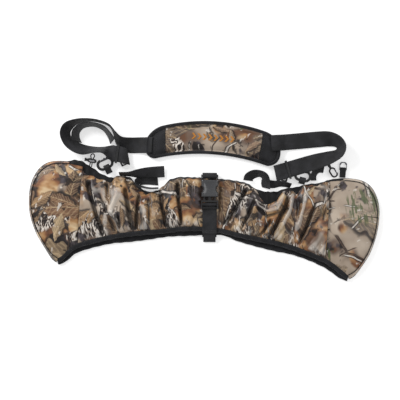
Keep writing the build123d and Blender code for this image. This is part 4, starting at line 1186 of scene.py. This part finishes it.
def make_pad_body(look):
    """The stuffed pad: a closed form swelled by cloth simulation."""
    outline = inset_line(pad_outline(), PAD_MARGIN - 1.4)
    count = len(outline)
    verts = [(p.x, p.y, z) for z in (1.2, 9.4) for p in outline]
    faces = [tuple(range(count)), tuple(range(2 * count - 1, count - 1, -1))]
    faces += [(k, count + k, count + (k + 1) % count, (k + 1) % count) for k in range(count)]
    piece = new_piece("pad_body", verts, faces, FINISHES["patch"])
    point_outwards(piece)
    remesh = piece.modifiers.new("remesh", "REMESH")
    remesh.mode = "VOXEL"
    remesh.voxel_size = 4.5 * MM
    apply_modifiers(piece)
    swell(piece, look.pad_pressure, 5 * MM)
    for vert in piece.data.vertices:
        vert.co.z = max(vert.co.z, 0.6 * MM)
    rounded = piece.modifiers.new("rounded", "SUBSURF")
    rounded.levels = rounded.render_levels = 1
    apply_modifiers(piece)
    for polygon in piece.data.polygons:
        polygon.use_smooth = True
    finish_piece(piece, ["pad_backing", "pad_foam"])
    return piece


def apply_modifiers(piece):
    """Bake a piece's modifiers into its mesh."""
    bpy.context.view_layer.update()
    shown = piece.evaluated_get(bpy.context.evaluated_depsgraph_get())
    mesh = bpy.data.meshes.new_from_object(shown)
    mesh.name = piece.name
    piece.modifiers.clear()
    materials = list(piece.data.materials)
    piece.data = mesh
    if not mesh.materials:
        for material in materials:
            mesh.materials.append(material)


def swell(piece, pressure, cap):
    """Blow a closed mesh up with Cloth pressure and keep each point within cap of its start."""
    scene = bpy.context.scene
    start = [vert.co.copy() for vert in piece.data.vertices]
    cloth = piece.modifiers.new("cloth", "CLOTH")
    settings = cloth.settings
    settings.use_pressure = True
    settings.uniform_pressure_force = pressure
    settings.quality = 5
    settings.mass = 0.3
    settings.tension_stiffness = settings.compression_stiffness = 15
    settings.effector_weights.gravity = 0
    frames = 20
    cloth.point_cache.frame_start = 1
    cloth.point_cache.frame_end = frames
    for number in range(1, frames + 1):
        scene.frame_set(number)
    apply_modifiers(piece)
    scene.frame_set(1)
    for vert, before in zip(piece.data.vertices, start):
        move = vert.co - before
        if move.length > cap:
            vert.co = before + move.normalized() * cap


def lay_over(points, tree, lift):
    """Points dropped from above onto a surface and lifted off it."""
    laid = []
    start, missed = 80, 8.0
    for x, y in points:
        hit = tree.ray_cast(Vector((x, y, start)) * MM, Vector((0, 0, -1)))
        z = hit[0].z / MM if hit[0] is not None else missed
        laid.append((x, y, z + lift))
    return laid


def make_pad_covering(pad):
    """The camouflage face, the two end patches and the binding, laid on the stuffed form."""
    tree = BVHTree.FromPolygons([v.co for v in pad.data.vertices], [p.vertices for p in pad.data.polygons])
    inner = inset_line(pad_outline(), PAD_MARGIN - 0.6)

    def span(x):
        """Low and high edge of the pad at x."""
        crossings = []
        for a, b in zip(inner, inner[1:] + inner[:1]):
            if (a.x > x) != (b.x > x):
                crossings.append(a.y + (b.y - a.y) * (x - a.x) / (b.x - a.x))
        return min(crossings), max(crossings)

    left_x = min(p.x for p in inner) + 0.05
    right_x = max(p.x for p in inner) - 0.05
    seams = {"left": [(-90, 80), (-98, 200)], "right": [(110, 80), (123, 200)]}

    def seam(name, y):
        (x0, y0), (x1, y1) = seams[name]
        return lerp(x0, x1, (y - y0) / (y1 - y0))

    rows, tucked = 40, 3      # the print is tucked this far under the patches
    # Each part's start and end, finish, slot, CAD node, height over the form and columns.
    parts = {"pad_camo": (-110, 130, "camo_pad", "camo_fabric", "pad_face", 0.5, 130),
             "pad_end_left": (left_x, -84, "patch", "black_padding", "pad_patch_left", 1.1, 40),
             "pad_end_right": (104, right_x, "patch", "black_padding", "pad_patch_right", 1.1, 44)}
    for name, (start, end, finish, slot, node, lift, columns) in parts.items():
        grid = []
        crowding = 1.4        # rows close up towards the pad's rounded ends
        for i in range(columns + 1):
            u = i / columns
            if name == "pad_end_left":
                u = u ** crowding
            elif name == "pad_end_right":
                u = 1 - (1 - u) ** crowding
            x_base = lerp(start, end, u)
            low, high = span(min(max(x_base, left_x), right_x))
            row = []
            for j in range(rows + 1):
                y = lerp(low, high, j / rows)
                if name == "pad_end_left":
                    x = min(x_base, seam("left", y))
                elif name == "pad_end_right":
                    x = max(x_base, seam("right", y))
                else:
                    x = min(max(x_base, seam("left", y) - tucked), seam("right", y) + tucked)
                row.append((x, y))
            grid.append(lay_over(row, tree, lift))
        fabric_panel(name, grid, PAD_WALL, FINISHES[finish], [node])
    edge = pad_outline()
    middle = inset_line(edge, PAD_MARGIN / 2)
    centres, sides = [], []
    for k in range(len(middle)):
        ahead = middle[(k + 1) % len(middle)] - middle[k - 1]
        x, y = middle[k]
        centres.append(Vector((x, y, 6.0 + 0.5 * wander(x, y, 12, 61))))
        sides.append(Vector((ahead.y, -ahead.x, 0)).normalized())
    section = tube_section(PAD_MARGIN + 2.2, 11.0, 18, 2.8)
    rim = swept("pad_rim", centres, sides, lambda i: section, FINISHES["binding"], closed=True)
    finish_piece(rim, ["pad_binding"])
    ring = inset_line(edge, PAD_MARGIN + 0.2)
    lines = [[Vector((p.x, p.y, 10.9)) for p in ring + ring[:1]]]
    sewn("pad_rim_stitches", lines, "thread", 3.2, 2.3, 0.7)
    lines = []
    for name, shift in (("left", -2.0), ("right", 2.0)):
        for extra in (0, 2.4 if name == "right" else -2.4):
            row = []
            for k in range(30):
                y = lerp(*span(seam(name, 135)), k / 29)
                row.append((seam(name, y) + shift + extra, y))
            lines.append(lay_over(row, tree, 1.5))
    for x in (-113, -116, 148):
        low, high = span(x)
        row = [(x, lerp(low, high, k / 20)) for k in range(2, 19)]
        lines.append(lay_over(row, tree, 1.5))
    sewn("pad_patch_stitches", lines, "thread", 3.0, 2.2, 0.65)
    make_motif(tree)


def make_motif(tree):
    """A row of satin-stitched chevrons in orange thread along the middle of the pad."""
    lines = []
    count, first, last, reach, half = 8, -36, 48, 5, 6.2
    for k in range(count):
        x0 = lerp(first, last, k / (count - 1))
        middle = 149.5 - 0.03 * (x0 - first)
        for slip in (0.0, 0.9, 1.8, 2.7, 3.6):
            for way in (-1, 1):
                row = [(x0 + slip + reach * (1 - t), middle + way * half * t)
                       for t in (0, 0.2, 0.4, 0.6, 0.8, 1)]
                lines.append(lay_over(row, tree, 0.9))
    sewn("pad_motif", lines, "orange", 1.25, 1.5, 0.95)


# ---- sling and straps ---------------------------------------------------------------------------
# Each piece of webbing's route, width, thickness and the CAD node it stands for.
SLING_WEBS = {"sling_web_left": (SLING_LEFT, SLING_WIDTH, WEB_THICKNESS, "sling_left"),
              "sling_web_left_inner": (SLING_LEFT_RETURN, SLING_WIDTH - 5, WEB_THICKNESS,
                                       "sling_left_return"),
              "sling_web_right": (SLING_RIGHT, SLING_WIDTH, WEB_THICKNESS, "sling_right")}
LIMB_WEBS = {"limb_web_left": (LIMB_STRAP_LEFT, 25, 1.9, "limb_strap_left"),
             "limb_web_left_end": (LIMB_STRAP_LEFT_TAIL, 20, WEB_THICKNESS, "limb_strap_left_tail"),
             "limb_web_right": (LIMB_STRAP_RIGHT, 24, WEB_THICKNESS, "limb_strap_right"),
             "limb_web_right_end": (LIMB_STRAP_RIGHT_TAIL, 18, WEB_THICKNESS, "limb_strap_right_tail"),
             "pocket_web": (POCKET_STRAP, 17, WEB_THICKNESS, "pocket_strap")}


def make_webs(webs):
    """Straps from a table of their routes and sizes."""
    for name, (route, width, thickness, node) in webs.items():
        strap(name, route, width, [node], thickness)


def make_tabs():
    """The small loops of webbing that hold a strap or the ring."""
    for node, (x, y, heading, root) in TABS.items():
        turn = math.radians(heading)
        loop = [(root, 1.0), (5, 1.0), (9.6, 2.6), (11.4, 8.5), (9.6, 14.6), (4.5, 16.0), (root, 11)]
        route = [(x + a * math.cos(turn), y + a * math.sin(turn), z, heading - 90, 0) for a, z in loop]
        strap(f"{node}_web", route, 13, [node], step=1.2)
    strap("ring_tab_web", [(*p, 0, 0) for p in RING_TAB], 12.5, ["ring_tab"], step=1.0)


# ---- moulded and metal parts ------------------------------------------------------------------
def make_buckle_face():
    """The dished face of the buckle's socket, with a thumb scallop on each side. Its glossy finish is
    lighter than the rest of the buckle, a painted highlight in part.
    """
    half, start, end, foot, rim = 17.9, 0.4, 37.6, 30.2, 34.3
    scallop_place, scallop_reach, scallop_depth = 17, 7.6, 4.4
    dish_start, dish_length, dish_half, dish_depth = 4.5, 29, 12.6, 2.7
    steps = 40
    grid = []
    for i in range(steps + 1):
        v = lerp(start, end, i / steps)
        bite = math.sqrt(max(0.0, 1 - ((v - scallop_place) / scallop_reach) ** 2))
        reach = half - scallop_depth * bite
        row = []
        for j in range(steps + 1):
            u = lerp(-reach, reach, j / steps)
            border = min(reach - abs(u), v - start, end - v)
            z = foot + (rim - foot) * math.sqrt(ease(border, -0.3, 2.4))
            across = max(0.0, 1 - (u / dish_half) ** 2)
            along = math.sin(math.pi * min(1.0, max(0.0, (v - dish_start) / dish_length)))
            z -= dish_depth * across ** 0.8 * max(0.0, along) ** 0.7
            row.append(tuple(on_belt(v, u, max(z, foot))))
        grid.append(row)
    verts = [p for row in grid for p in row]
    faces = grid_faces(len(grid), len(grid[0]))
    piece = new_piece("buckle_face", verts, faces, FINISHES["polished_painted_light"])
    turn_up_and_thicken(piece, PLATE_WALL)
    finish_piece(piece)


def make_lock_highlight():
    """A pale metal oval on the cord lock's barrel, a painted highlight standing for the shiny glint on the
    barrel.
    """
    half_length, half_width, half_height, height = 6.4, 3.2, 1.5, 4.0
    verts, rings, spokes = [], 9, 20
    for i in range(rings):
        tilt = math.pi * i / (rings - 1)
        for j in range(spokes):
            angle = 2 * math.pi * j / spokes
            verts.append(tuple(lock_point(half_length * math.sin(tilt) * math.cos(angle),
                                          half_width * math.sin(tilt) * math.sin(angle),
                                          height + half_height * math.cos(tilt))))
    faces = []
    for i in range(rings - 1):
        for j in range(spokes):
            a, b = i * spokes + j, i * spokes + (j + 1) % spokes
            faces.append((a, a + spokes, b + spokes, b))
    piece = new_piece("lock_highlight_oval", verts, faces, FINISHES["highlight_metal"])
    point_outwards(piece)
    finish_piece(piece)


def make_hardware():
    """Finishes for the buckle, hooks, keepers, ring and cord lock, whose CAD shapes stay."""
    for node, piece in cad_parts.items():
        if node.startswith(("buckle", "keeper", "lock_barrel", "lock_plunger")):
            finish = "plastic"
        elif "gate" in node or "pin" in node or node in ("strap_ring", "lock_spring"):
            finish = "metal"
        elif "hook" in node:
            finish = "acetal"
        else:
            continue
        piece.data.materials.clear()
        piece.data.materials.append(FINISHES[finish])
    make_buckle_face()
    make_lock_highlight()


# ---- stage -----------------------------------------------------------------------------------
def make_stage(stage):
    """Floor, soft light and the overhead camera."""
    scene = bpy.context.scene
    scene.view_settings.view_transform = "Standard"
    mesh = bpy.data.meshes.new("floor")
    reach = 3.0
    corners = [(-reach, -reach, 0), (reach, -reach, 0), (reach, reach, 0), (-reach, reach, 0)]
    mesh.from_pydata(corners, [], [(0, 1, 2, 3)])
    floor = bpy.data.objects.new("floor", mesh)
    scene.collection.objects.link(floor)
    paper = Finish("paper_floor", 0.9, Specular_IOR_Level=0.1)
    for socket, value in (("Base Color", (0.9, 0.9, 0.9, 1)), ("Emission Color", (1, 1, 1, 1)),
                          ("Emission Strength", stage.floor_glow)):
        paper.shader.inputs[socket].default_value = value
    mesh.materials.append(paper.material)
    world = bpy.data.worlds.new("studio")
    scene.world = world
    world.use_nodes = True
    sky = world.node_tree.nodes["Background"]
    sky.inputs["Color"].default_value = (1, 1, 1, 1)
    sky.inputs["Strength"].default_value = stage.sky
    lamps = {"key": ((-1.3, 1.0, 1.1), 0.7, stage.key), "fill": ((1.2, 0.4, 1.5), 1.2, stage.key * 0.3)}
    for name, (place, size, power) in lamps.items():
        lamp = bpy.data.lights.new(name, "AREA")
        lamp.energy = power
        lamp.size = size
        holder = bpy.data.objects.new(name, lamp)
        scene.collection.objects.link(holder)
        holder.location = place
        holder.rotation_euler = (-Vector(place)).to_track_quat("-Z", "Y").to_euler()
    lens = bpy.data.cameras.new("camera")
    lens.lens = 85
    lens.sensor_width = 36
    camera = bpy.data.objects.new("camera", lens)
    scene.collection.objects.link(camera)
    camera.location = (stage.aim_x, stage.aim_y, stage.camera_height)
    camera.rotation_euler = (0, 0, stage.camera_turn)
    scene.camera = camera


# ---- add-on ----------------------------------------------------------------------------------
class SlingLook(bpy.types.PropertyGroup):
    """Sizes and colours of the sling that a user may change."""

    gather_depth: bpy.props.FloatProperty(
        name="Gather depth", description="How deep the sleeve's gathers are", default=1.0, min=0, max=2,
        subtype="FACTOR")
    pocket_puff: bpy.props.FloatProperty(
        name="Pocket puff", description="Rise of the cam pockets in millimetres", default=12.0)
    pad_pressure: bpy.props.FloatProperty(
        name="Pad pressure", description="How hard the shoulder pad is stuffed", default=4.0)
    webbing: bpy.props.FloatVectorProperty(
        name="Webbing colour", description="Colour of the straps", subtype="COLOR", size=3,
        default=(0.017, 0.017, 0.019))
    binding: bpy.props.FloatVectorProperty(
        name="Binding colour", description="Colour of the bound edges", subtype="COLOR", size=3,
        default=(0.008, 0.008, 0.0105))
    plastic: bpy.props.FloatVectorProperty(
        name="Plastic colour", description="Colour of the buckle", subtype="COLOR", size=3,
        default=(0.012, 0.012, 0.013))
    motif: bpy.props.FloatVectorProperty(
        name="Motif colour", description="Colour of the pad's stitched motif", subtype="COLOR", size=3,
        default=(0.80, 0.33, 0.03))


class SlingStage(bpy.types.PropertyGroup):
    """The studio round the sling."""

    sky: bpy.props.FloatProperty(name="Sky", description="Strength of the white surround", default=0.42)
    floor_glow: bpy.props.FloatProperty(name="Floor glow", description="Light given off by the floor",
                                        default=0.45)
    key: bpy.props.FloatProperty(name="Key light", description="Power of the key light", default=22.0,
                                 unit="POWER")
    aim_x: bpy.props.FloatProperty(name="Camera X", description="Camera place along the cover",
                                   default=-0.0101, unit="LENGTH")
    aim_y: bpy.props.FloatProperty(name="Camera Y", description="Camera place across the cover",
                                   default=0.0104, unit="LENGTH")
    camera_height: bpy.props.FloatProperty(name="Camera height", description="Height over the floor",
                                           default=2.08, unit="LENGTH")
    camera_turn: bpy.props.FloatProperty(name="Camera turn", description="Turn about the upright",
                                         default=math.radians(3.5), subtype="ANGLE")


class BOWSLING_OT_stage(bpy.types.Operator):
    """Make the floor, the lights and the camera"""

    bl_idname = "bowsling.stage"
    bl_label = "Stage"

    def execute(self, context):
        make_stage(context.scene.sling_stage)
        return {"FINISHED"}


class BOWSLING_OT_drawcord(bpy.types.Operator):
    """Mix the finishes and lay the drawcord through its lock"""

    bl_idname = "bowsling.drawcord"
    bl_label = "Drawcord"

    def execute(self, context):
        make_finishes(context.scene.sling_look)
        make_drawcord()
        return {"FINISHED"}


class BOWSLING_OT_cover(bpy.types.Operator):
    """Sew the camouflage cover: sleeve, pockets, gussets, lining and backs"""

    bl_idname = "bowsling.cover"
    bl_label = "Cover"

    def execute(self, context):
        look = context.scene.sling_look
        make_backs()
        make_lining()
        make_sleeve(look)
        for side, name in ((-1, "left"), (1, "right")):
            make_pocket(side, name, look)
            make_gusset(side, name)
        return {"FINISHED"}


class BOWSLING_OT_bindings(bpy.types.Operator):
    """Bind the mouth's two edges"""

    bl_idname = "bowsling.bindings"
    bl_label = "Mouth bindings"

    def execute(self, context):
        make_bindings()
        return {"FINISHED"}


class BOWSLING_OT_belt(bpy.types.Operator):
    """Lay the belt round the middle"""

    bl_idname = "bowsling.belt"
    bl_label = "Belt"

    def execute(self, context):
        make_belt()
        return {"FINISHED"}


class BOWSLING_OT_pad(bpy.types.Operator):
    """Stuff and cover the shoulder pad"""

    bl_idname = "bowsling.pad"
    bl_label = "Shoulder pad"

    def execute(self, context):
        look = context.scene.sling_look
        make_pad_covering(make_pad_body(look))
        return {"FINISHED"}


class BOWSLING_OT_straps(bpy.types.Operator):
    """Lay the sling, the limb straps and the tabs"""

    bl_idname = "bowsling.straps"
    bl_label = "Straps"

    def execute(self, context):
        make_webs(SLING_WEBS)
        make_webs(LIMB_WEBS)
        make_tabs()
        return {"FINISHED"}


class BOWSLING_OT_hardware(bpy.types.Operator):
    """Finish the buckle, hooks, keepers, ring and cord lock"""

    bl_idname = "bowsling.hardware"
    bl_label = "Hardware"

    def execute(self, context):
        make_hardware()
        return {"FINISHED"}


STEPS = [BOWSLING_OT_stage, BOWSLING_OT_drawcord, BOWSLING_OT_cover, BOWSLING_OT_bindings,
         BOWSLING_OT_belt, BOWSLING_OT_pad, BOWSLING_OT_straps, BOWSLING_OT_hardware]


class BOWSLING_PT_panel(bpy.types.Panel):
    """The sling's steps and settings in the sidebar"""

    bl_label = "Bow Sling"
    bl_idname = "BOWSLING_PT_panel"
    bl_space_type = "VIEW_3D"
    bl_region_type = "UI"
    bl_category = "Bow Sling"

    def draw(self, context):
        for group in (context.scene.sling_look, context.scene.sling_stage):
            for title in group.__annotations__:
                self.layout.prop(group, title)
        for step in STEPS:
            self.layout.operator(step.bl_idname)


CLASSES = [SlingLook, SlingStage, *STEPS, BOWSLING_PT_panel]


def register():
    for kind in CLASSES:
        bpy.utils.register_class(kind)
    bpy.types.Scene.sling_look = bpy.props.PointerProperty(type=SlingLook)
    bpy.types.Scene.sling_stage = bpy.props.PointerProperty(type=SlingStage)


def unregister():
    del bpy.types.Scene.sling_look
    del bpy.types.Scene.sling_stage
    for kind in reversed(CLASSES):
        bpy.utils.unregister_class(kind)


def main():
    register()
    for step in STEPS:
        group, action = step.bl_idname.split(".")
        getattr(getattr(bpy.ops, group), action)()


if __name__ == "__main__":
    main()
